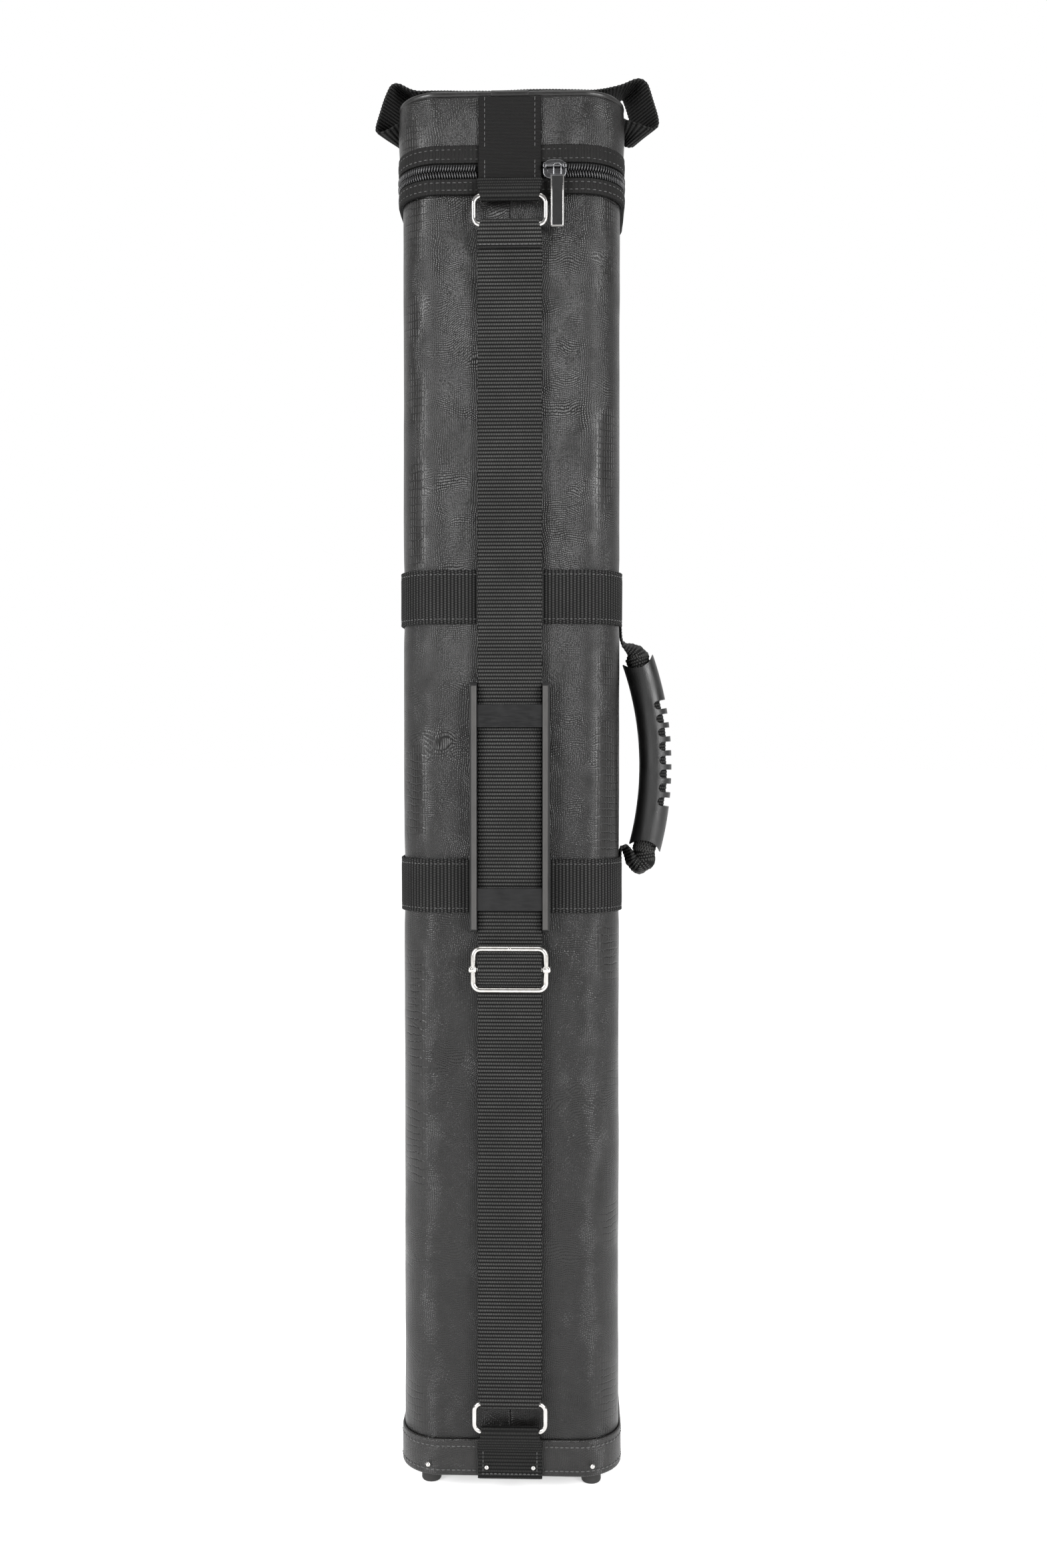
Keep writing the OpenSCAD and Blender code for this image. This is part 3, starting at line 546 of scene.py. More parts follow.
# ---- Tacks ----
# Small domed chrome tacks, driven through the cap and through the webbing patch.
chrome = finish("chrome", 0.09, metal=1.0)
chrome_at = place_mm(chrome)
paint(chrome, blend_of(chrome, mottle(chrome, chrome_at, 6.0, 3.0), (0.38, 0.365, 0.35),
                       (0.66, 0.65, 0.64)),
      rise(chrome, mottle(chrome, chrome_at, 1.4, 4.0), 0.35, 0.75, (0.07, 0.16)),
      mottle(chrome, chrome_at, 2.5), 0.00001)
tack_dome = [(1.25, -0.3), (1.6, 0.05), (1.58, 0.35), (1.3, 0.85), (0.8, 1.25), (0.35, 1.42),
             (0.0, 1.45)]
front_tilt, back_tilt = Matrix.Rotation(pi / 2, 4, "X"), Matrix.Rotation(-pi / 2, 4, "X")
tacks = turned("tacks_front", tack_dome, [(-49.5, -46.5, 17.4), (49.5, -46.5, 17.4),
                                          (-14.0, -49.5, 17.4), (14.0, -49.5, 17.4)],
               chrome, "chrome", "case_body", 16, front_tilt)
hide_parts("cap_tacks")
turned("tacks_back", tack_dome, [(x, 46.5, 17.4) for x in (-49.5, -14.0, 14.0, 49.5)],
       chrome, "chrome", "case_body", 16, back_tilt)

# ---- Webbing bands ----
# Two bands of 1 1/4 inch polypropylene webbing, sewn round the case near both of their edges.
# The weave's thick rows stand upright here, because the webbing runs round the case.
row_pitch, float_pitch = 2.15, 1.02
band_wide, band_thick = 31.75, 1.6


def woven(name, light, painted_gap_shade, along="y", pitch=row_pitch, across=float_pitch, shine=0.12):
    """Webbing: rows of short staggered floats across the strap; the gaps between them are coloured near
    black as painted shade.
    """
    mat = finish(name, 0.62, gloss=shine)
    cloth = place_mm(mat, "UV")
    apart = mat.node_tree.nodes.new("ShaderNodeSeparateXYZ")
    link_in(mat, apart.inputs[0], cloth)
    v, u = (apart.outputs[1], apart.outputs[0]) if along == "y" else (apart.outputs[0],
                                                                    apart.outputs[1])
    rows = maths(mat, "ADD", maths(mat, "DIVIDE", v, pitch), 0.5)
    odd = maths(mat, "MULTIPLY", maths(mat, "MODULO", maths(mat, "FLOOR", rows), 2.0), 0.5)
    in_row = maths(mat, "SUBTRACT", maths(mat, "FRACT", rows), 0.5)
    in_float = maths(mat, "SUBTRACT", maths(mat, "FRACT", maths(mat, "ADD", maths(mat, "DIVIDE", u,
                                                                                 across), odd)), 0.5)
    wide = maths(mat, "POWER", maths(mat, "ABSOLUTE", maths(mat, "DIVIDE", in_float, 0.44)), 2.2)
    high = maths(mat, "POWER", maths(mat, "ABSOLUTE", maths(mat, "DIVIDE", in_row, 0.40)), 2.2)
    floats = rise(mat, maths(mat, "ADD", wide, high), 0.25, 1.05, (1.0, 0.0))
    fibre = mottle(mat, stretched(mat, cloth, 1.0 if along == "y" else 0.25,
                                  0.25 if along == "y" else 1.0), 0.16, 3.0)
    # Painted shade: the gaps between the floats take the near-black colour, mixed with the fibre's own
    # streaks and a slow mottle of tone.
    fibre_and_painted_shade = maths(mat, "MULTIPLY", floats, rise(mat, fibre, 0.2, 0.8, (0.55, 1.0)))
    fibre_and_painted_shade = maths(mat, "MULTIPLY", fibre_and_painted_shade, rise(mat, mottle(mat, cloth, 30.0, 3.0), 0.2, 0.8,
                                               (0.75, 1.1)))
    height = maths(mat, "ADD", floats, maths(mat, "MULTIPLY", fibre, 0.25))
    return paint(mat, blend_of(mat, fibre_and_painted_shade, painted_gap_shade, light), None, height, 0.00040)


band_web = woven("band_webbing", (0.048, 0.048, 0.047), (0.0008, 0.0008, 0.0008), "x",
                 case_round / 187)


def band(name, low, node):
    pitch = case_round / 187

    def shape(s, out, z):
        if out < 0.1:
            return out, z
        ridge = 0.5 + 0.5 * cos(2 * pi * s / pitch)
        sewn = max(0.0, 1 - abs(min(z - low, low + band_wide - z) - 2.6) / 1.0)
        edge = 0.35 * ridge if abs(z - low - band_wide / 2) > band_wide / 2 - 0.7 else 0.0
        lift = 0.10 * noise.noise(Vector((s / 25.0, z / 20.0, low)))
        z += edge * (1 if z > low + band_wide / 2 else -1) * 0.6
        return out * (0.80 + 0.20 * ridge) - 0.22 * sewn + lift, z

    profile = rounded([(0.0, low), (band_thick, low), (band_thick, low + band_wide),
                       (0.0, low + band_wide)], 0.5, 2)
    filled = [profile[0]]
    for a, b in zip(profile, profile[1:]):
        cuts = 16 if abs(b[1] - a[1]) > 20 and a[0] > 1 else 1
        filled += [(a[0] + (b[0] - a[0]) * k / cuts, a[1] + (b[1] - a[1]) * k / cuts, 0.0)
                   for k in range(1, cuts + 1)]
    made = settle(round_case(filled, round_columns(case_round / 187 / 4), shape), name, band_web,
                  "webbing")
    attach(made, "case_body")
    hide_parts(node)
    stitch_row(name + "_stitches", spots_round(low + 2.6, band_thick - 0.15, 2.6)
               + spots_round(low + band_wide - 2.6, band_thick - 0.15, 2.6), "case_body", 1.7, 0.22)


band("band_low", 351.3, "band_lower")
band("band_high", 524.0, "band_upper")

# ---- Shoulder strap ----
# One length of 1 1/2 inch webbing. From the upper ring it runs down behind the pad and the buckle
# to the lower ring, turns round its bar and comes back up in front to the buckle.
strap_wide, strap_thick = 38.1, 1.6
strap_y, strap_front_y, ring_y = -49.6, -51.5, -51.0
upper_bars, lower_bars = (757.7, 774.7), (39.8, 56.8)
strap_join = 360.0
strap_web = woven("strap_webbing", (0.068, 0.068, 0.066), (0.0008, 0.0008, 0.0008))


def evenly(points, step):
    """Points at even steps along a line, each with how far along it is and its heading."""
    runs = [0.0]
    for a, b in zip(points, points[1:]):
        runs.append(runs[-1] + (Vector(b) - Vector(a)).length)
    count = max(2, round(runs[-1] / step))
    spots, k = [], 0
    for m in range(count + 1):
        want = runs[-1] * m / count
        while k < len(points) - 2 and runs[k + 1] < want:
            k += 1
        share = (want - runs[k]) / max(1e-9, runs[k + 1] - runs[k])
        spots.append(Vector(points[k]).lerp(Vector(points[k + 1]), share))
    lines = []
    for m, spot in enumerate(spots):
        heading = spots[min(m + 2, count)] - spots[max(m - 2, 0)]
        lines.append((spot, runs[-1] * m / count, heading.normalized()))
    return lines


def ribbon(points, wide, thick, material, name, slot, body, across=(1.0, 0.0, 0.0),
           pitch=row_pitch, ridge=0.22, start_v=0.0, fine=4, lift=None):
    """A length of webbing along a line: ridged through its thickness, with a toothed edge."""
    lines = evenly(points, pitch / fine)
    section = [(a, 1) for a in (-0.5, -0.47, -0.36, -0.22, -0.08, 0.08, 0.22, 0.36, 0.47, 0.5)]
    section += [(a, -1) for a in (0.5, 0.47, 0.3, 0.1, -0.1, -0.3, -0.47, -0.5)]
    section.append(section[0])
    runs = [0.0]
    for a, b in zip(section, section[1:]):
        width_here = wide(0.0) if callable(wide) else wide
        runs.append(runs[-1] + abs(b[0] - a[0]) * width_here + (thick if a[1] != b[1] else 0.0))

    def place(i, j):
        spot, run, heading = lines[j]
        side = Vector(across(run) if callable(across) else across).normalized()
        away = heading.cross(side).normalized()
        ribs = cos(2 * pi * (run + start_v) / pitch)
        a, face = section[i]
        wide_here = (wide(run) if callable(wide) else wide) + 0.28 * ribs
        thin = 0.55 if abs(a) > 0.49 else 1.0
        up = lift(run, a) if lift else 0.0
        return (spot + side * (a * wide_here)
                + away * (face * thick / 2 * thin * (1 + ridge * ribs) + up))

    bm = grid_piece(len(section) - 1, len(lines) - 1, place,
                    lambda i, j: (runs[i] - (wide(0.0) if callable(wide) else wide) / 2,
                                  lines[j][1] + start_v))
    bmesh.ops.remove_doubles(bm, verts=bm.verts, dist=0.0005)
    open_edges = [e for e in bm.edges if e.is_boundary]
    bmesh.ops.holes_fill(bm, edges=open_edges, sides=0)
    made = settle(bm, name, material, slot)
    if body:
        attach(made, body)
    return made


def round_bar(bar_z, first, last, reach=2.45, parts=14):
    """Points of webbing turning round a ring's bar, by angles from its back."""
    return [(0.0, ring_y + reach * cos(radians(first + (last - first) * k / parts)),
             bar_z + reach * sin(radians(first + (last - first) * k / parts)))
            for k in range(parts + 1)]


def narrow_at(run_from, run_to, narrow=34.4, full=strap_wide):
    """Webbing that is squeezed narrower where it turns inside a ring."""
    def wide(run):
        gap = max(0.0, run_from - run, run - run_to)
        share = min(1.0, gap / 9.0)
        return narrow + (full - narrow) * share * share * (3 - 2 * share)
    return wide


upper_line = [(0.0, strap_y, strap_join), (0.0, strap_y, 742.0), (0.0, -49.25, 749.0),
              (0.0, -48.62, 755.0)]
upper_turn = sum((Vector(b) - Vector(a)).length for a, b in zip(upper_line, upper_line[1:]))
upper_line += round_bar(upper_bars[0], 0, 180)
upper_line += [(0.0, -53.2, 754.4), (0.0, -52.2, 750.0), (0.0, -51.5, 746.6), (0.0, -51.4, 744.4)]
strap_upper = ribbon(upper_line, narrow_at(upper_turn, upper_turn + 8.0), strap_thick, strap_web,
                     "strap_upper", "webbing", None)
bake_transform(strap_upper)
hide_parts("strap_eye_upper", "strap_back")

lower_line = [(0.0, strap_y, strap_join), (0.0, strap_y, 72.0), (0.0, -49.2, 65.5),
              (0.0, -48.62, 59.6)]
lower_turn = sum((Vector(b) - Vector(a)).length for a, b in zip(lower_line, lower_line[1:]))
lower_line += round_bar(lower_bars[1], 0, -180)
lower_line += [(0.0, -53.2, 60.2), (0.0, -52.2, 65.0), (0.0, -51.6, 70.0), (0.0, strap_front_y, 80.0)]
for z in steps(84.0, 300.0, 3.0):
    crease = 0.30 * max(0.0, 1 - abs(z - 267.0) / 5.0) + 0.30 * max(0.0, 1 - abs(z - 293.0) / 5.0)
    lower_line.append((0.0, strap_front_y + crease + 0.12 * noise.noise(Vector((0, 0, z / 22.0))), z))
lower_line.append((0.0, strap_front_y, 306.0))
strap_lower = ribbon(lower_line, narrow_at(lower_turn, lower_turn + 8.0), strap_thick, strap_web,
                     "strap_lower", "webbing", None)
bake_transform(strap_lower)
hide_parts("strap_eye_lower", "strap_front")


def row_across(name, z, y, half, body, pitch=2.5, away=(0, -1, 0)):
    count = round(2 * half / pitch)
    spots = [((half * (2 * k / count - 1), y, z + 0.1 * noise.noise(Vector((k * 0.7, z, 2.0)))),
              (1, 0, 0), away) for k in range(count + 1)]
    return stitch_row(name, spots, body, 1.9, 0.26)


row_across("strap_eye_stitches", 745.9, -52.45, 17.2, "upper_ring")

# ---- Ring loops ----
# The upper ring hangs in a doubled webbing loop sewn under the hinge tape; the lower ring in a
# patch folded round its bar, tacked over the cap and sewn in a box.
loop_web = woven("loop_webbing", (0.028, 0.028, 0.027), (0.0020, 0.0020, 0.0020))
loop_line = [(0.0, -48.55, 785.0), (0.0, -48.55, 777.5)]
loop_line += round_bar(upper_bars[1], 0, -180) + [(0.0, -53.2, 778.6), (0.0, -51.2, 782.4),
                                                  (0.0, -50.4, 785.2)]
ring_loop = ribbon(loop_line, narrow_at(6.0, 16.0), 1.5, loop_web, "ring_loop_webbing", "webbing",
                   "case_body")
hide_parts("ring_loop")
patch_line = [(0.0, -47.3, 10.8), (0.0, -47.3, 30.0), (0.0, -48.0, 36.0), (0.0, -48.55, 38.6)]
patch_line += round_bar(lower_bars[0], 0, 180) + [(0.0, -53.2, 36.6), (0.0, -51.0, 31.5),
                                                  (0.0, -49.1, 27.0), (0.0, -48.75, 22.0),
                                                  (0.0, -48.75, 10.5)]
patch = ribbon(patch_line, narrow_at(27.0, 36.0, 34.4, 38.6), 1.5, loop_web, "cap_patch", "webbing",
               "case_body")
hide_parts("bottom_patch")
row_across("patch_stitches_top", 28.6, -49.75, 16.2, "case_body")
row_across("patch_stitches_low", 13.4, -49.55, 16.2, "case_body")
stitch_row("patch_stitches_side", [((sx * 16.2, -49.55 - 0.2 * (z > 26), z), (0, 0, 1), (0, -1, 0))
                                   for sx in (-1, 1) for z in steps(15.9, 26.2, 2.5)], "case_body",
           1.9, 0.26)

# ---- Rings ----
# Two rectangular rings of bent and butted 3 mm wire, bright chrome.
ring_wide, ring_high, ring_bend, ring_wire = 45.4, 20.0, 6.0, 3.0


def wire_ring(bm, wide, high, bend, wire, middle, parts=16):
    """Adds a loop of round wire that faces the front."""
    w, h, r = wide - wire, high - wire, bend - wire / 2
    length = 2 * (w + h) - 8 * r + 2 * pi * r
    count = 4 * round(length / 4 / 0.9)
    spots = [case_edge(length * k / count, 0.0, w, h, r) for k in range(count + 1)]

    def place(i, j):
        point, away = spots[i]
        turn = 2 * pi * j / parts
        out = wire / 2 * cos(turn)
        return (middle[0] + point.x + away.x * out, middle[1] - wire / 2 * sin(turn),
                middle[2] + point.y + away.y * out)

    loop = grid_piece(count, parts, place, lambda i, j: (length * i / count, wire * j / parts))
    bmesh.ops.remove_doubles(loop, verts=loop.verts, dist=0.0005)
    mesh = bpy.data.meshes.new("wire")
    loop.to_mesh(mesh)
    loop.free()
    bm.from_mesh(mesh)
    bpy.data.meshes.remove(mesh)
    return bm


for name, z, body, node in (("ring_upper", 766.2, "upper_ring", "top_ring"),
                            ("ring_lower", 48.3, "lower_ring", "bottom_ring")):
    made = settle(wire_ring(bmesh.new(), ring_wide, ring_high, ring_bend, ring_wire, (0, ring_y, z)),
                  name, chrome, "chrome")
    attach(made, body)
    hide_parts(node)

# ---- Shoulder pad ----
# A moulded pad that slides on the strap: two stiff rails with chamfered outer edges, joined by two
# smooth cross plates over the strap and by a soft sheet behind it.
pad_low, pad_long, rail_in, rail_wide = 339.6, 149.5, 19.45, 4.4
pad_back, rail_front, plate_back, plate_front = -47.0, -55.0, -50.8, -53.2


def moulded(name, tone, other, rough, speck=0.5, grain=0.00006, gloss=0.5):
    """Moulded plastic with a fine spark-eroded grain, slightly uneven in sheen."""
    mat = finish(name, rough, gloss=gloss)
    where = place_mm(mat)
    worn = mottle(mat, where, 11.0, 4.0)
    fine = mottle(mat, where, speck, 2.0)
    tint = blend_of(mat, maths(mat, "MULTIPLY", maths(mat, "ADD", worn, fine), 0.5), tone, other)
    return paint(mat, tint, rise(mat, worn, 0.3, 0.7, (rough - 0.07, rough + 0.08)), fine, grain)


rail_plastic = moulded("rail_plastic", (0.022, 0.021, 0.020), (0.040, 0.038, 0.036), 0.52)
# This black plastic is the pad sheet's colour; on the rails it is painted shade.
pad_black_and_rail_shade = moulded("pad_black_and_rail_shade", (0.010, 0.010, 0.010), (0.020, 0.020, 0.020), 0.50)
pad_plastic = finish("pad_plastic", 0.42, gloss=0.3)
plate_at = place_mm(pad_plastic)
scuff = mottle(pad_plastic, stretched(pad_plastic, plate_at, 0.15, 1.0, 1.0), 1.0, 4.0)
paint(pad_plastic, blend_of(pad_plastic, rise(pad_plastic, mottle(pad_plastic, plate_at, 9.0, 4.0),
                                              0.35, 0.75), (0.0025, 0.0025, 0.0027),
                            (0.006, 0.006, 0.0062)),
      rise(pad_plastic, scuff, 0.3, 0.8, (0.36, 0.52)), scuff, 0.00003)


def slab(outline, axis, low, high, round_off=0.3, parts=2, flare=None):
    """A flat shape given by its outline, thickened along an axis, with rounded edges."""
    bm = bmesh.new()
    first = {"x": lambda p, d: (d, p[0], p[1]), "y": lambda p, d: (p[0], d, p[1]),
             "z": lambda p, d: (p[0], p[1], d)}[axis]
    base = bm.faces.new([bm.verts.new(first(p, low)) for p in outline])
    grown = bmesh.ops.extrude_face_region(bm, geom=[base])
    moved = [v for v in grown["geom"] if isinstance(v, bmesh.types.BMVert)]
    shift = Vector(first((0.0, 0.0), high - low))
    bmesh.ops.translate(bm, vec=shift, verts=moved)
    bmesh.ops.recalc_face_normals(bm, faces=bm.faces)
    if flare:
        for vert in bm.verts:
            vert.co = flare(vert.co.copy())
    if round_off:
        edges = [e for e in bm.edges if e.calc_face_angle(0.0) > 0.5]
        bmesh.ops.bevel(bm, geom=edges, offset=round_off, offset_type="OFFSET", segments=parts,
                        profile=0.5, affect="EDGES", material=-1, clamp_overlap=True)
    return bm


def pour(*parts):
    """Several meshes as one."""
    whole = bmesh.new()
    for part in parts:
        mesh = bpy.data.meshes.new("part")
        part.to_mesh(mesh)
        part.free()
        whole.from_mesh(mesh)
        bpy.data.meshes.remove(mesh)
    return whole


def slanted_ends(point):
    """A rail's ends slope back, so that its front is shorter than its foot."""
    share = (pad_back - point.y) / (pad_back - rail_front)
    half = pad_long / 2 - 2.6 * share * share
    middle = pad_low + pad_long / 2
    point.z = middle + half * (1 if point.z > middle else -1)
    return point


rails = pour(*[slab([(side * x, y) for x, y in (
    (rail_in, pad_back), (rail_in, rail_front + 0.5), (rail_in + 0.5, rail_front),
    (rail_in + 3.1, rail_front), (rail_in + 4.15, rail_front + 2.4),
    (rail_in + rail_wide, rail_front + 3.2), (rail_in + rail_wide, pad_back))],
    "z", pad_low, pad_low + pad_long, 0.22, 2, slanted_ends) for side in (-1, 1)])
pad_rails = settle(rails, "pad_rail_pair", [pad_black_and_rail_shade, rail_plastic], "rail_plastic", smooth=False)
# Painted shade: only the faces turned to the front take the lighter rail plastic; the rails' sides,
# chamfers, ends and backs take the darker black plastic.
for face in pad_rails.data.polygons:
    face.material_index = 1 if face.normal.y < -0.55 else 0
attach(pad_rails, "shoulder_pad")
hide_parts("pad_rails")
for name, low, node in (("pad_cross_low", 353.1, "pad_plate_lower"),
                        ("pad_cross_high", 462.1, "pad_plate_upper")):
    plate = slab([(-rail_in, low), (rail_in, low), (rail_in, low + 13.5), (-rail_in, low + 13.5)],
                 "y", plate_back, plate_front, 0.35, 2)
    made = settle(plate, name, pad_plastic, "pad_plastic", smooth=False)
    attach(made, "shoulder_pad")
    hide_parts(node)
sheet_line = [(0.0, -47.7, pad_low + 2.0), (0.0, -47.7, pad_low + pad_long - 2.0)]
pad_sheet = ribbon(sheet_line, 2 * rail_in - 0.2, 1.2, pad_black_and_rail_shade, "pad_sheet", "pad_plastic",
                   "shoulder_pad", pitch=4.0, ridge=0.08)
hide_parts("pad_base")

# ---- Slide buckle ----
# A nickel-plated wire buckle whose centre bar turns in two beaded bosses. The strap passes over
# the bar, and the wire's ends meet in the middle of the top rail.
buckle_y, buckle_z = -54.25, 318.4
buckle_wide, buckle_high, buckle_wire = 46.3, 27.8, 3.3
nickel = finish("nickel", 0.17, metal=1.0)
nickel_at = place_mm(nickel)
paint(nickel, blend_of(nickel, mottle(nickel, nickel_at, 3.0, 4.0), (0.36, 0.35, 0.33),
                       (0.74, 0.72, 0.69)),
      rise(nickel, mottle(nickel, nickel_at, 0.9, 4.0), 0.35, 0.75, (0.13, 0.28)),
      mottle(nickel, nickel_at, 0.7), 0.000015)


def spun_on_x(profile, middle, parts=24):
    """A turned part lying across the case: a line of (radius, x) spun about its axis."""
    bm = bmesh.new()
    line = [bm.verts.new((x, r, 0.0)) for r, x in profile]
    edges = [bm.edges.new(pair) for pair in zip(line, line[1:])]
    bmesh.ops.spin(bm, geom=line + edges, cent=(0, 0, 0), axis=(1, 0, 0), angle=2 * pi, steps=parts,
                   use_merge=True)
    bmesh.ops.translate(bm, vec=middle, verts=bm.verts)
    return bm


boss = [(0.0, 19.4), (1.5, 19.4), (2.1, 19.8), (2.2, 20.5), (1.85, 21.1), (1.85, 22.0), (2.2, 22.6),
        (2.25, 23.4), (1.9, 24.1), (1.2, 24.4), (0.0, 24.4)]
buckle = wire_ring(bmesh.new(), buckle_wide, buckle_high, 6.0, buckle_wire, (0, buckle_y, buckle_z))
butt = spun_on_x([(0.0, -0.7), (1.68, -0.7), (1.74, -0.45), (1.5, -0.08), (1.5, 0.08), (1.74, 0.45),
                  (1.68, 0.7), (0.0, 0.7)], (0, buckle_y, buckle_z + buckle_high / 2 - buckle_wire / 2))
buckle = pour(buckle, butt, *[spun_on_x([(r, side * x) for r, x in boss], (0, buckle_y, buckle_z))
                              for side in (-1, 1)])
buckle = settle(buckle, "buckle_wire", nickel, "nickel")
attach(buckle, "slide_buckle")
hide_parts("buckle_frame")
bar = settle(spun_on_x([(0.0, -19.5), (1.35, -19.5), (1.5, -19.2), (1.5, 19.2), (1.35, 19.5),
                        (0.0, 19.5)], (0, buckle_y, buckle_z)), "buckle_centre_bar", nickel, "nickel")
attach(bar, "slide_buckle")
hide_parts("buckle_bar")
hump_line = []
for k in range(-24, 25):
    rise_here = 3.35 * (1 + cos(pi * k / 24)) / 2
    hump_line.append((0.0, -52.6 - 0.75 - rise_here, buckle_z + 10.2 * k / 24))
hump = ribbon(hump_line, 38.0, 1.5, strap_web, "strap_over_bar", "webbing", "slide_buckle")
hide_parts("strap_hump")

# ---- Lid skin ----
# The lid's side is padded under the same leatherette, so it bulges between the zipper's binding
# and the piping, where it is gathered into the seam.
lid_low, lid_edge, lid_out = 805.2, 834.4, 2.2


def lid_swell(s, out, z):
    if out < 1.0:
        return out, z
    share = (z - lid_low) / (lid_edge - lid_low)
    bulge = 0.55 * sin(pi * max(0.0, min(1.0, share))) - 0.35
    pucker = 0.16 * noise.noise(Vector((s / 7.0, share * 1.4, 4.0))) * share ** 3
    wave = 0.28 * noise.noise(Vector((s / 34.0, z / 26.0, 7.0)))
    return out + bulge + pucker + wave, z


lid_profile = [(0.1, lid_low, 0.0)] + [(lid_out, z, 0.0) for z in steps(lid_low, lid_edge, 1.2)]
lid_profile += [(0.6, lid_edge + 0.2, 0.0), (0.1, lid_edge, 0.0), (0.1, 820.0, 0.0),
                (0.1, lid_low, 0.0)]
lid_skin = settle(round_case(lid_profile, round_columns(1.6), lid_swell), "lid_skin", leather,
                  "leatherette")
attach(lid_skin, "lid")
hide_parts("lid_wrap")

# ---- Lid cushion ----
# The lid's top is leatherette over foam, pulled down all round into the piping's seam, so that it
# rises to a soft crown.
crown_edge, crown_high = 834.0, 7.4
crown_rings = 26
crown_profile = []
for k in range(crown_rings + 1):
    q = k / crown_rings
    height = crown_high * (1 - (1 - min(1.0, q * 2.1)) ** 2.2) * (0.90 + 0.10 * q)
    crown_profile.append((-2.0, crown_edge + height, q))
crown_profile += [(-2.0, crown_edge - 0.05, 1.0), (-2.0, crown_edge - 0.05, 0.5)]
crown_profile.append(crown_profile[0])
crown = round_case(crown_profile, round_columns(3.2))
crown.normal_update()
for vert in crown.verts:
    if vert.co.z > crown_edge + 1.0:
        x, y, z = vert.co
        vert.co.z = min(841.5, z + 0.5 * noise.noise(Vector((x / 24.0, y / 19.0, 2.0)))
                        + 0.12 * noise.noise(Vector((x / 5.0, y / 6.0, 2.0))))
for face in crown.faces:
    for loop in face.loops:
        loop[crown.loops.layers.uv[0]].uv = (loop.vert.co.x / 1000, loop.vert.co.y / 1000)
lid_leather = lizard_grain("lid_leatherette", False)
cushion = settle(crown, "lid_cushion", lid_leather, "leatherette")
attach(cushion, "lid")
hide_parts("lid_top")

# ---- Piping ----
# A vinyl-covered cord sewn into the seam round the lid's top edge. Its ends meet at the front
# inside a short sleeve.
pipe_r, pipe_z = 2.0, 836.0
vinyl = finish("vinyl", 0.36, gloss=0.4)
vinyl_at = place_mm(vinyl)
paint(vinyl, blend_of(vinyl, mottle(vinyl, vinyl_at, 12.0, 3.0), (0.0060, 0.0058, 0.0056),
                      (0.0105, 0.0101, 0.0098)),
      rise(vinyl, mottle(vinyl, vinyl_at, 4.0, 4.0), 0.3, 0.75, (0.28, 0.46)),
      mottle(vinyl, vinyl_at, 0.6, 3.0), 0.00004)


def pipe_tube(columns, radius, parts=14, close=False):
    """A round cord along the lid's edge, slightly uneven as sewn piping is."""
    def place(i, j):
        s = columns[i]
        turn = 2 * pi * j / parts
        lump = radius * (1 + 0.05 * noise.noise(Vector((s / 9.0, 0.0, 6.0))))
        sway = 0.25 * noise.noise(Vector((s / 40.0, 3.0, 6.0)))
        point = case_edge(s, 0.2 + sway * 0.6 + lump * cos(turn))[0]
        return point.x, point.y, pipe_z + sway - 0.1 + lump * sin(turn)

    bm = grid_piece(len(columns) - 1, parts, place, lambda i, j: (columns[i], 12.6 * j / parts))
    bmesh.ops.remove_doubles(bm, verts=bm.verts, dist=0.0005)
    if close:
        bmesh.ops.holes_fill(bm, edges=[e for e in bm.edges if e.is_boundary], sides=0)
    return bm


piping = settle(pipe_tube(round_columns(2.0), pipe_r), "piping_cord", vinyl, "vinyl")
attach(piping, "lid")
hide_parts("piping")
sleeve = settle(pipe_tube([-11.0, -10.7] + steps(-10.0, 10.0, 1.6) + [10.7, 11.0], 2.42, 18, True),
                "piping_joint", vinyl, "vinyl")
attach(sleeve, "lid")
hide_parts("piping_sleeve")

# ---- Zipper tapes and bindings ----
# Woven zipper tape runs round both edges, covered by a grosgrain binding that is sewn twice. The
# binding's fine ribs stand upright.


def ribbed(name, light, painted_gap_shade, along, pitch=0.83, shine=0.12):
    """Grosgrain: fine even ribs across the ribbon, with painted shade in the grooves between them."""
    mat = finish(name, 0.66, gloss=shine)
    cloth = place_mm(mat, "UV")
    apart = mat.node_tree.nodes.new("ShaderNodeSeparateXYZ")
    link_in(mat, apart.inputs[0], cloth)
    v = apart.outputs[1] if along == "y" else apart.outputs[0]
    u = apart.outputs[0] if along == "y" else apart.outputs[1]
    wobble = maths(mat, "MULTIPLY", mottle(mat, cloth, 9.0, 2.0), 0.5)
    rib = maths(mat, "PINGPONG", maths(mat, "ADD", maths(mat, "DIVIDE", v, pitch), wobble), 0.5)
    rib = rise(mat, rib, 0.05, 0.40)
    grain = maths(mat, "PINGPONG", maths(mat, "DIVIDE", u, 0.42), 0.5)
    fibre = mottle(mat, cloth, 0.2, 3.0)
    height = maths(mat, "ADD", rib, maths(mat, "MULTIPLY", maths(mat, "ADD", grain, fibre), 0.22))
    # Painted shade: the grooves between the ribs take the darker colour, mixed with the fibre's own
    # streaks.
    fibre_and_painted_shade = maths(mat, "MULTIPLY", rib, rise(mat, fibre, 0.2, 0.8, (0.55, 1.0)))
    return paint(mat, blend_of(mat, fibre_and_painted_shade, painted_gap_shade, light), None, height, 0.00022)


zip_cloth = ribbed("zip_tape_cloth", (0.014, 0.014, 0.014), (0.002, 0.002, 0.002), "x", 0.6)
binding_cloth = ribbed("binding_cloth", (0.018, 0.0175, 0.017), (0.001, 0.001, 0.001), "x")
hinge_cloth = ribbed("hinge_cloth", (0.0125, 0.012, 0.0115), (0.001, 0.001, 0.001), "y")


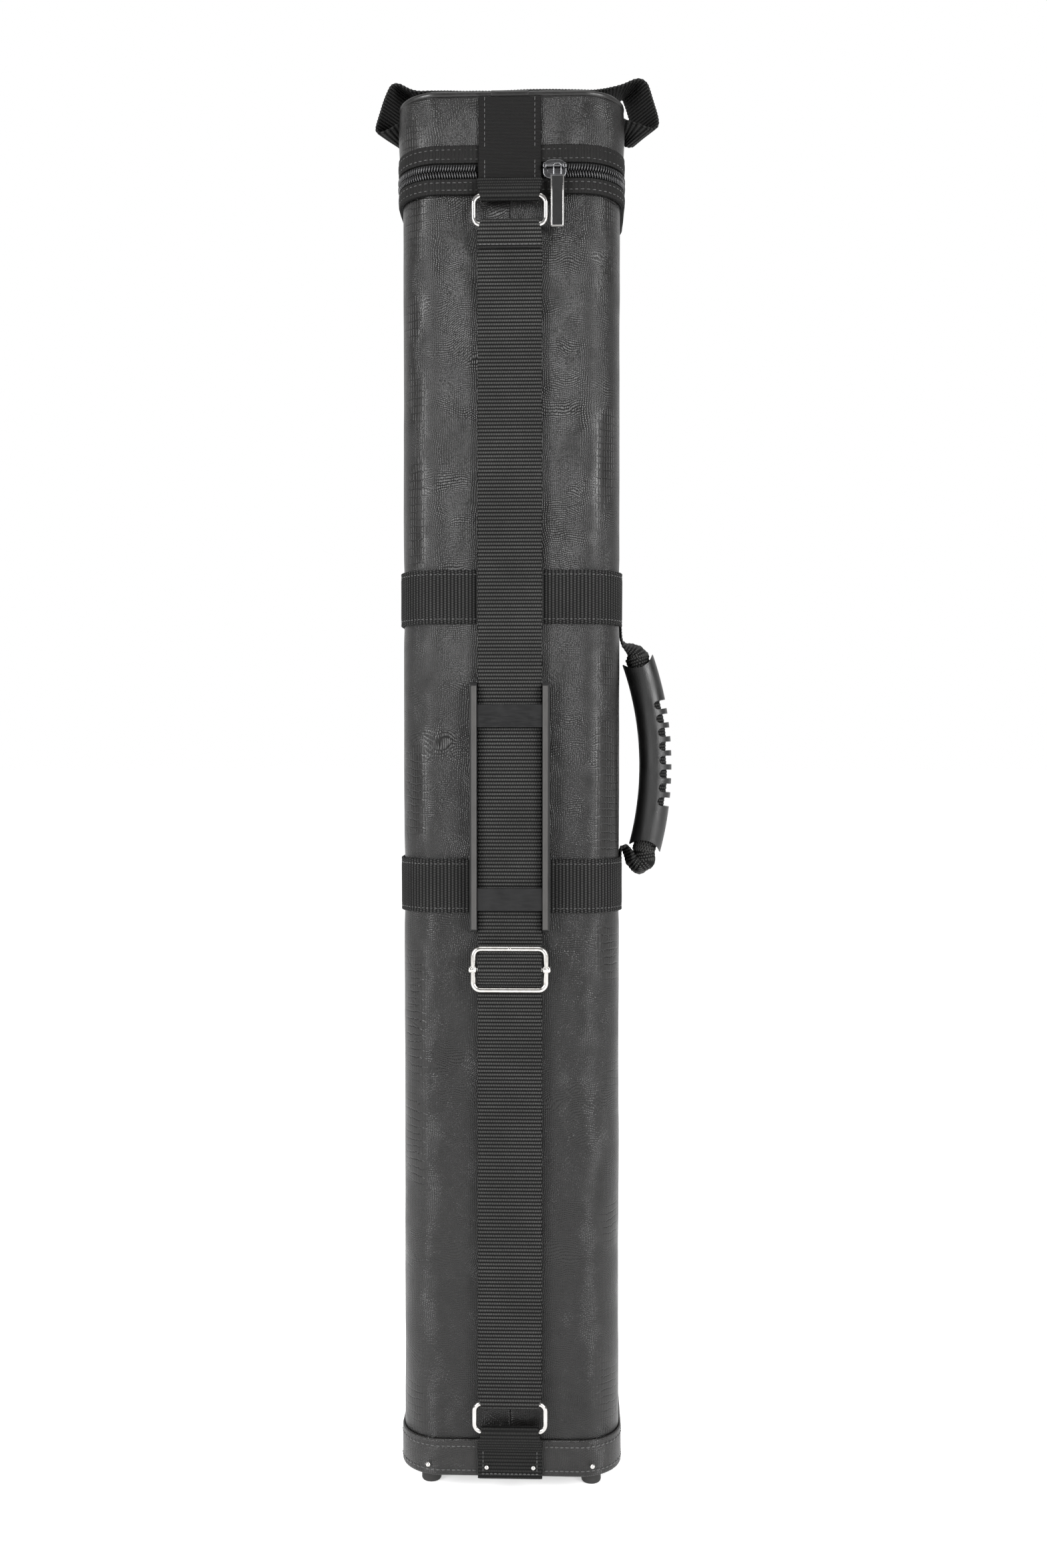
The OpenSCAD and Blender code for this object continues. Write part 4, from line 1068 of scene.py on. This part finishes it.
def edging(name, inner, outer, low, high, material, slot, body, node, soft=0.35, cuts=6, puff=0.0):
    """A tape round the case, between two distances out and two heights."""
    def shape(s, out, z):
        if out < (inner + outer) / 2:
            return out, z
        share = (z - low) / (high - low)
        rows = sum(max(0.0, 1 - abs(z - row) / 0.8) for row in (low + 2.2, high - 2.2)) if puff else 0
        wave = 0.16 * noise.noise(Vector((s / 15.0, z / 9.0, low / 7.0)))
        edge_wave = 0.35 * noise.noise(Vector((s / 21.0, low, 3.0)))
        z += edge_wave * (0.5 - abs(share - 0.5) * 0.2) if puff else 0.0
        return out + puff * sin(pi * max(0.0, min(1.0, share))) - 0.30 * rows + wave, z

    profile = rounded([(inner, low), (outer, low), (outer, high), (inner, high)], soft, 2)
    filled = [profile[0]]
    for a, b in zip(profile, profile[1:]):
        count = cuts * 2 if abs(b[1] - a[1]) > 4 and a[0] > (inner + outer) / 2 else 1
        filled += [(a[0] + (b[0] - a[0]) * k / count, a[1] + (b[1] - a[1]) * k / count, 0.0)
                   for k in range(1, count + 1)]
    made = settle(round_case(filled, round_columns(1.3), shape), name, material, slot)
    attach(made, body)
    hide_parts(node)


edging("zip_tape_low", 0.0, 1.0, 777.1, 790.1, zip_cloth, "zip_tape", "case_body", "zip_tape_lower")
edging("zip_tape_high", 0.0, 1.0, 790.5, 805.4, zip_cloth, "zip_tape", "lid", "zip_tape_upper")
edging("binding_low", 0.9, 2.5, 777.1, 786.0, binding_cloth, "grosgrain", "case_body",
       "binding_lower", puff=0.30)
edging("binding_high", 0.9, 2.5, 795.3, 805.4, binding_cloth, "grosgrain", "lid", "binding_upper",
       puff=0.30)
for name, z, body in (("binding_low_stitches_a", 779.4, "case_body"),
                      ("binding_low_stitches_b", 783.8, "case_body"),
                      ("binding_high_stitches_a", 797.6, "lid"),
                      ("binding_high_stitches_b", 802.9, "lid")):
    stitch_row(name, spots_round(z, 2.45, 3.3, lambda s: min(s, case_round - s) < 19.0), body, 2.3,
               0.20)

# ---- Zipper coil ----
# Two rows of nylon coil teeth that mesh on the zip line. The chain stops at the hinge tape.
tooth_pitch, tooth_long, coil_out = 1.55, 4.3, 2.15
zip_line = 790.3
coil_nylon = finish("coil_nylon", 0.24, gloss=0.5)
coil_at = place_mm(coil_nylon)
paint(coil_nylon, blend_of(coil_nylon, mottle(coil_nylon, coil_at, 1.4), (0.010, 0.010, 0.011),
                           (0.024, 0.024, 0.025)),
      rise(coil_nylon, mottle(coil_nylon, coil_at, 2.0), 0.3, 0.7, (0.18, 0.32)))


def coil_row(name, side, body, node):
    """Every tooth is a rounded bar across the chain, leaning a little along it."""
    bm = bmesh.new()
    count = round(case_round / tooth_pitch)
    for k in range(count):
        s = case_round * (k + (0.5 if side > 0 else 0.0)) / count
        if min(s, case_round - s) < 19.4:
            continue
        point, away = case_edge(s, coil_out)
        along = Vector((-away.y, away.x, 0.0))
        up = (Vector((0, 0, 1)) * side + along * 0.20).normalized()
        out = Vector((away.x, away.y, 0.0))
        turn = Matrix((up, up.cross(out).normalized(), out)).transposed().to_4x4()
        middle = (point.x, point.y, zip_line + side * 2.0)
        bmesh.ops.create_uvsphere(bm, u_segments=8, v_segments=5, radius=1.0,
                                  matrix=Matrix.Translation(middle) @ turn
                                  @ Matrix.Diagonal((tooth_long / 2, 0.56, 0.85, 1.0))
                                  @ Matrix.Rotation(pi / 2, 4, "Y"))
    made = settle(bm, name, coil_nylon, "zip_coil")
    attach(made, body)
    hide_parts(node)


coil_row("coil_low", -1, "case_body", "zip_coil_lower")
coil_row("coil_high", 1, "lid", "zip_coil_upper")

# ---- Hinge tape ----
# One upright length of wide grosgrain, sewn to the lid's front and to the case above the ring,
# down both of its edges. It is what the lid turns on.
hinge_wide, hinge_y = 37.0, -48.75
hinge_line = [(0.0, -48.55, 785.4), (0.0, hinge_y, 790.0), (0.0, hinge_y, 806.0),
              (0.0, -48.95, 820.0), (0.0, -48.6, 829.0), (0.0, -48.2, 833.2)]
hinge_tape = ribbon(hinge_line, hinge_wide, 1.1, hinge_cloth, "hinge_tape", "grosgrain", None,
                    pitch=0.83, ridge=0.05, fine=2)
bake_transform(hinge_tape)
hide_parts("hinge_tape_lower", "hinge_tape_upper")
for name, body, low, high in (("hinge_stitches_low", "case_body", 786.4, 795.0),
                              ("hinge_stitches_high", "lid", 805.0, 831.8)):
    stitch_row(name, [((sx * x, -49.42 - 0.2 * (806 < z < 824), z), (0.03, 0, 1), (0, -1, 0))
                      for sx in (-1, 1) for x in (14.8,) for z in steps(low, high, 3.2)], body, 2.4,
               0.20)

# ---- Zip slider and pull ----
# A black-plated slider: an oval body with a round bar across it. The pull hangs from the bar by a
# black-plated wire neck, thin enough to swing clear of the slider. It is a bright metal rim round
# a plain black enamel insert.
slider_x, slider_back, slider_front = 26.5, -48.6, -50.1
bail_y, bail_z, pull_x, pull_top, pull_long = -52.0, 791.7, 28.1, 786.3, 30.4
bail_thick, neck_thick, bail_half = 0.70, 0.46, 6.9
rim_half, rim_wide = 4.0, 0.9
black_metal = finish("black_plate", 0.16, metal=1.0)
black_at = place_mm(black_metal)
paint(black_metal, blend_of(black_metal, mottle(black_metal, black_at, 2.0, 3.0),
                            (0.10, 0.10, 0.105), (0.19, 0.19, 0.195)),
      rise(black_metal, mottle(black_metal, black_at, 0.8, 4.0), 0.3, 0.75, (0.12, 0.26)),
      mottle(black_metal, black_at, 0.8), 0.00002)
enamel = finish("black_enamel", 0.10, gloss=0.5, coat=0.6)
enamel_at = place_mm(enamel)
paint(enamel, blend_of(enamel, mottle(enamel, enamel_at, 3.0, 3.0), (0.006, 0.006, 0.006),
                       (0.012, 0.012, 0.012)),
      rise(enamel, mottle(enamel, enamel_at, 1.6, 4.0), 0.3, 0.75, (0.07, 0.18)))


def oval(wide, high, middle, power=2.6, parts=28):
    """The outline of a squared-off oval."""
    spots = []
    for k in range(parts):
        turn = 2 * pi * k / parts
        c, s = cos(turn), sin(turn)
        spots.append((middle[0] + wide / 2 * abs(c) ** (2 / power) * (1 if c > 0 else -1),
                      middle[1] + high / 2 * abs(s) ** (2 / power) * (1 if s > 0 else -1)))
    return spots


def capsule_x(x0, x1, y, z, thick, flat=1.0):
    """A round-ended bar lying across the case."""
    half = (x1 - x0) / 2
    profile = [(0.0, -half), (0.45 * thick, -half + 0.12), (0.8 * thick, -half + 0.45),
               (thick, -half + 1.1), (thick * 1.04, 0.0), (thick, half - 1.1),
               (0.8 * thick, half - 0.45), (0.45 * thick, half - 0.12), (0.0, half)]
    bm = spun_on_x(profile, (0, 0, 0), 20)
    bmesh.ops.scale(bm, vec=(1.0, 1.0, flat), verts=bm.verts)
    bmesh.ops.translate(bm, vec=((x0 + x1) / 2, y, z), verts=bm.verts)
    return bm


slider = pour(
    slab(oval(14.0, 11.4, (slider_x, zip_line), 2.9), "y", slider_back, slider_front, 0.45, 3),
    slab(oval(9.0, 7.0, (slider_x, zip_line + 0.3), 2.4), "y", slider_front + 0.2,
         slider_front - 0.15, 0.1, 2),
    slab([(slider_x - 6.9, bail_z - 1.3), (slider_x - 4.9, bail_z - 1.6),
          (slider_x - 4.9, bail_z + 1.6), (slider_x - 6.9, bail_z + 1.3)], "y",
         slider_front + 0.2, bail_y - 0.9, 0.4, 3),
    slab([(slider_x + 4.9, bail_z - 1.6), (slider_x + 6.9, bail_z - 1.3),
          (slider_x + 6.9, bail_z + 1.3), (slider_x + 4.9, bail_z + 1.6)], "y",
         slider_front + 0.2, bail_y - 0.9, 0.4, 3),
    capsule_x(slider_x - bail_half, slider_x + bail_half, bail_y, bail_z, bail_thick, 1.0))
slider = settle(slider, "slider_body", black_metal, "zip_metal")
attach(slider, "slider")
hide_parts("zip_slider")

rim_back, rim_front = bail_y + 0.9, bail_y - 0.9
pull_low = pull_top - pull_long


def rim_bar(x0, x1, z0, z1, round_off=0.3):
    return slab([(x0, z0), (x1, z0), (x1, z1), (x0, z1)], "y", rim_back, rim_front, round_off, 3)


def wire(spots, thick, parts=10):
    """A round wire along points, closed at both ends."""
    lines = evenly(spots, 0.35)

    def place(i, j):
        spot, _, heading = lines[j]
        side = heading.orthogonal().normalized() if abs(heading.x) > 0.9 else \
            heading.cross(Vector((1, 0, 0))).normalized()
        other = heading.cross(side)
        turn = 2 * pi * i / parts
        return spot + side * (thick * cos(turn)) + other * (thick * sin(turn))

    bm = grid_piece(parts, len(lines) - 1, place,
                    lambda i, j: (thick * 6.28 * i / parts, lines[j][1]))
    bmesh.ops.remove_doubles(bm, verts=bm.verts, dist=0.0005)
    bmesh.ops.holes_fill(bm, edges=[e for e in bm.edges if e.is_boundary], sides=0)
    return bm


neck_leg = [(2.2, bail_y, pull_top - 0.8), (2.2, bail_y - 0.1, pull_top + 2.0),
            (2.2, bail_y - 0.6, pull_top + 4.0), (2.15, bail_y - 1.18, bail_z - 0.3),
            (1.9, bail_y - 1.20, bail_z + 0.25), (1.2, bail_y - 1.05, bail_z + 0.65)]
neck_line = ([(-x, y, z) for x, y, z in neck_leg] + [(0.0, bail_y - 0.86, bail_z + 0.88)]
             + neck_leg[::-1])
neck = wire([(pull_x + x, y, z) for x, y, z in neck_line], neck_thick)
pull = pour(rim_bar(pull_x - rim_half, pull_x - rim_half + rim_wide, pull_low, pull_top),
            rim_bar(pull_x + rim_half - rim_wide, pull_x + rim_half, pull_low, pull_top),
            rim_bar(pull_x - rim_half, pull_x + rim_half, pull_low, pull_low + rim_wide))
pull = settle(pull, "pull_rim", chrome, "zip_metal")
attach(pull, "pull")
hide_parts("pull_frame")
neck_foot = rim_bar(pull_x - rim_half, pull_x + rim_half, pull_top - rim_wide, pull_top)
neck = settle(pour(neck, neck_foot), "pull_neck", black_metal, "zip_metal")
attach(neck, "pull")
insert = settle(slab([(pull_x - 3.15, pull_low + 0.8), (pull_x + 3.15, pull_low + 0.8),
                      (pull_x + 3.15, pull_top - 0.8), (pull_x - 3.15, pull_top - 0.8)], "y",
                     bail_y + 0.75, bail_y - 0.82, 0.25, 3), "pull_black_insert", enamel,
                "black_enamel")
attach(insert, "pull")
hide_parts("pull_insert")

# ---- Top handle ----
# A loop of band webbing over the lid. Both ends come out of the piping's seam at the sides, turn
# down and fold back up, and the loops splay out to the front.
handle_web = woven("handle_webbing", (0.036, 0.036, 0.035), (0.0020, 0.0020, 0.0020), "y", 1.95, 1.4)
handle_side, handle_up = case_w / 2, 838.0
loop_left = [(0.9, -4.0), (3.0, -7.0), (5.6, -9.8), (7.6, -10.9), (9.5, -11.0), (10.7, -9.9),
             (10.9, -8.0), (9.6, -3.4), (7.6, 3.0), (5.6, 9.0), (3.5, 14.0), (2.0, 17.0), (0.0, 18.5),
             (-2.2, 18.3), (-4.2, 16.8), (-7.0, 14.4), (-11.0, 13.0)]
loop_right = [(0.9, -4.0), (3.0, -5.6), (6.0, -7.2), (9.2, -9.2), (12.0, -10.3), (14.6, -10.2),
              (16.4, -8.8), (16.9, -6.4), (16.0, -1.5), (14.4, 4.0), (12.6, 9.4), (11.0, 14.4),
              (9.6, 17.6), (8.0, 19.2), (5.8, 19.4), (3.2, 18.0), (0.0, 15.6), (-5.0, 13.8),
              (-11.0, 13.0)]
handle_points = [(-handle_side - x, 0.0, handle_up + z) for x, z in loop_left]
handle_points += [(x, 0.0, handle_up + 12.9 + 0.35 * sin(x / 11.0)) for x in steps(-50.0, 50.0, 5.0)]
handle_points += [(handle_side + x, 0.0, handle_up + z) for x, z in reversed(loop_right)]


def softened(points, rounds=2):
    """The same line with its corners cut, so that webbing bends instead of kinking."""
    for _ in range(rounds):
        cut = [points[0]]
        for a, b in zip(points, points[1:]):
            a, b = Vector(a), Vector(b)
            cut += [tuple(a.lerp(b, 0.25)), tuple(a.lerp(b, 0.75))]
        points = cut + [points[-1]]
    return points


handle_line = softened(handle_points)
handle_length = sum((Vector(b) - Vector(a)).length for a, b in zip(handle_line, handle_line[1:]))


def handle_splay(run):
    """The loops turn towards the front at both ends, and the middle lies straight."""
    from_end = min(run, handle_length - run)
    share = max(0.0, min(1.0, (from_end - 2.0) / 9.0)) * max(0.0, min(1.0, (62.0 - from_end) / 18.0))
    turn = radians(25.0) * share * (1 if run < handle_length / 2 else -1)
    return (sin(turn), cos(turn), 0.0)


def handle_dent(run, a):
    from_end = min(run, handle_length - run)
    fold = max(0.0, 1 - abs(from_end - 44.0) / 16.0)
    return 0.25 * noise.noise(Vector((run / 14.0, a * 2.0, 8.0))) - 1.1 * fold * (0.5 - abs(a))


handle = ribbon(handle_line, 31.0, 1.6, handle_web, "top_handle_webbing", "webbing", "lid",
                handle_splay, 1.95, 0.2, lift=handle_dent)
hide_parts("top_handle")

# ---- Carry grip ----
# Two moulded shells clip round the rolled end of a length of band webbing. Slots through the outer
# shell show the webbing; its two ends come out of the grip, twist flat and go under the bands.
grip_x, grip_z, grip_curve, grip_lean = 89.002, 446.4, 200.0, radians(2.2)
grip_half = 119.0 / 200.0 / 2
grip_plastic = moulded("grip_plastic", (0.0015, 0.0015, 0.0015), (0.006, 0.006, 0.006), 0.34, 0.35,
                       0.00010)
grip_dark = moulded("grip_inner_plastic", (0.0012, 0.0012, 0.0012), (0.003, 0.003, 0.003), 0.48, 0.35,
                    0.00010)
coat_node(grip_plastic, "grip_outer")
coat_node(grip_dark, "grip_inner")
grip_web = woven("grip_webbing_cloth", (0.055, 0.055, 0.053), (0.0020, 0.0020, 0.0020), "y", 1.95,
                 1.3)


def grip_spot(turn, out=0.0, side=0.0):
    """A point by its angle up the grip's curve, its distance out from the middle and along Y."""
    reach = grip_curve + out
    x, z = reach * cos(turn) - grip_curve, reach * sin(turn)
    return Vector((grip_x + x * cos(grip_lean) - z * sin(grip_lean), side,
                   grip_z + x * sin(grip_lean) + z * cos(grip_lean)))


def rolled(spots, name, body, parts=28):
    """Webbing rolled into a lump: each stage is a point, its two half-widths and a twist."""
    dense = []
    for (p, a, b, t), (q, c, d, w) in zip(spots, spots[1:]):
        cuts = max(2, round((Vector(q) - Vector(p)).length / 0.5))
        for k in range(cuts):
            m = k / cuts
            m = m * m * (3 - 2 * m) * 0.5 + m * 0.5
            dense.append((Vector(p).lerp(Vector(q), m), a + (c - a) * m, b + (d - b) * m,
                          t + (w - t) * m))
    dense.append((Vector(spots[-1][0]),) + tuple(spots[-1][1:]))
    runs = [0.0]
    for a, b in zip(dense, dense[1:]):
        runs.append(runs[-1] + (b[0] - a[0]).length)

    def place(i, j):
        spot, thick, wide, twist = dense[j]
        heading = (dense[min(j + 2, len(dense) - 1)][0] - dense[max(j - 2, 0)][0]).normalized()
        side = Vector((0, 1, 0))
        out = heading.cross(side).normalized()
        side, out = (side * cos(twist) + out * sin(twist), out * cos(twist) - side * sin(twist))
        turn = 2 * pi * i / parts
        c, s = cos(turn), sin(turn)
        ribs = 0.16 * cos(2 * pi * runs[j] / 1.95)
        fold = 0.10 * min(thick, 4.0) * cos(3 * turn + runs[j] / 5.0)
        return (spot + out * ((thick + ribs + fold) * abs(c) ** 0.8 * (1 if c > 0 else -1))
                + side * ((wide + ribs) * abs(s) ** 0.8 * (1 if s > 0 else -1)))

    bm = grid_piece(parts, len(dense) - 1, place, lambda i, j: (40.0 * i / parts, runs[j]))
    bmesh.ops.remove_doubles(bm, verts=bm.verts, dist=0.0005)
    bmesh.ops.holes_fill(bm, edges=[e for e in bm.edges if e.is_boundary], sides=0)
    made = settle(bm, name, grip_web, "webbing")
    if body:
        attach(made, body)
    return made


core = rolled([(grip_spot(-grip_half - 0.012 + (2 * grip_half + 0.024) * k / 12), 6.9, 7.6, 0.0)
               for k in range(13)], "grip_core", "carry_grip")
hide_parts("grip_webbing")
neck_top = rolled([((66.85, 0, 527.0), 0.8, 15.8, 0.0), ((67.1, 0, 520.5), 0.8, 15.6, 0.0),
                   ((67.9, 0, 516.6), 0.9, 12.5, 0.05), ((70.2, 0, 513.6), 1.5, 9.5, 0.2),
                   ((73.4, 0, 511.6), 3.2, 8.0, 0.3), ((76.6, 0, 509.0), 5.4, 7.6, 0.2),
                   ((78.6, 0, 505.4), 6.8, 7.6, 0.1),
                   (tuple(grip_spot(grip_half + 0.006)), 6.7, 7.6, 0.0),
                   (tuple(grip_spot(grip_half - 0.03)), 6.6, 7.4, 0.0)], "grip_neck_top", None)
neck_low = rolled([((66.85, 0, 378.0), 0.8, 15.8, 0.0), ((67.1, 0, 385.0), 0.8, 15.6, 0.0),
                   ((68.0, 0, 387.8), 0.9, 12.5, -0.05), ((70.2, 0, 387.8), 1.2, 9.5, -0.2),
                   ((72.0, 0, 384.6), 1.8, 8.0, -0.3), ((74.6, 0, 379.6), 3.6, 7.6, -0.2),
                   ((79.0, 0, 376.2), 5.6, 7.6, -0.1), ((83.0, 0, 379.6), 6.6, 7.6, 0.0),
                   (tuple(grip_spot(-grip_half - 0.010)), 6.7, 7.6, 0.0),
                   (tuple(grip_spot(-grip_half + 0.03)), 6.6, 7.4, 0.0)], "grip_neck_low", None)
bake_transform(neck_top)
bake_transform(neck_low)
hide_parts("webbing_tab_upper")
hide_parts("webbing_tab_lower")
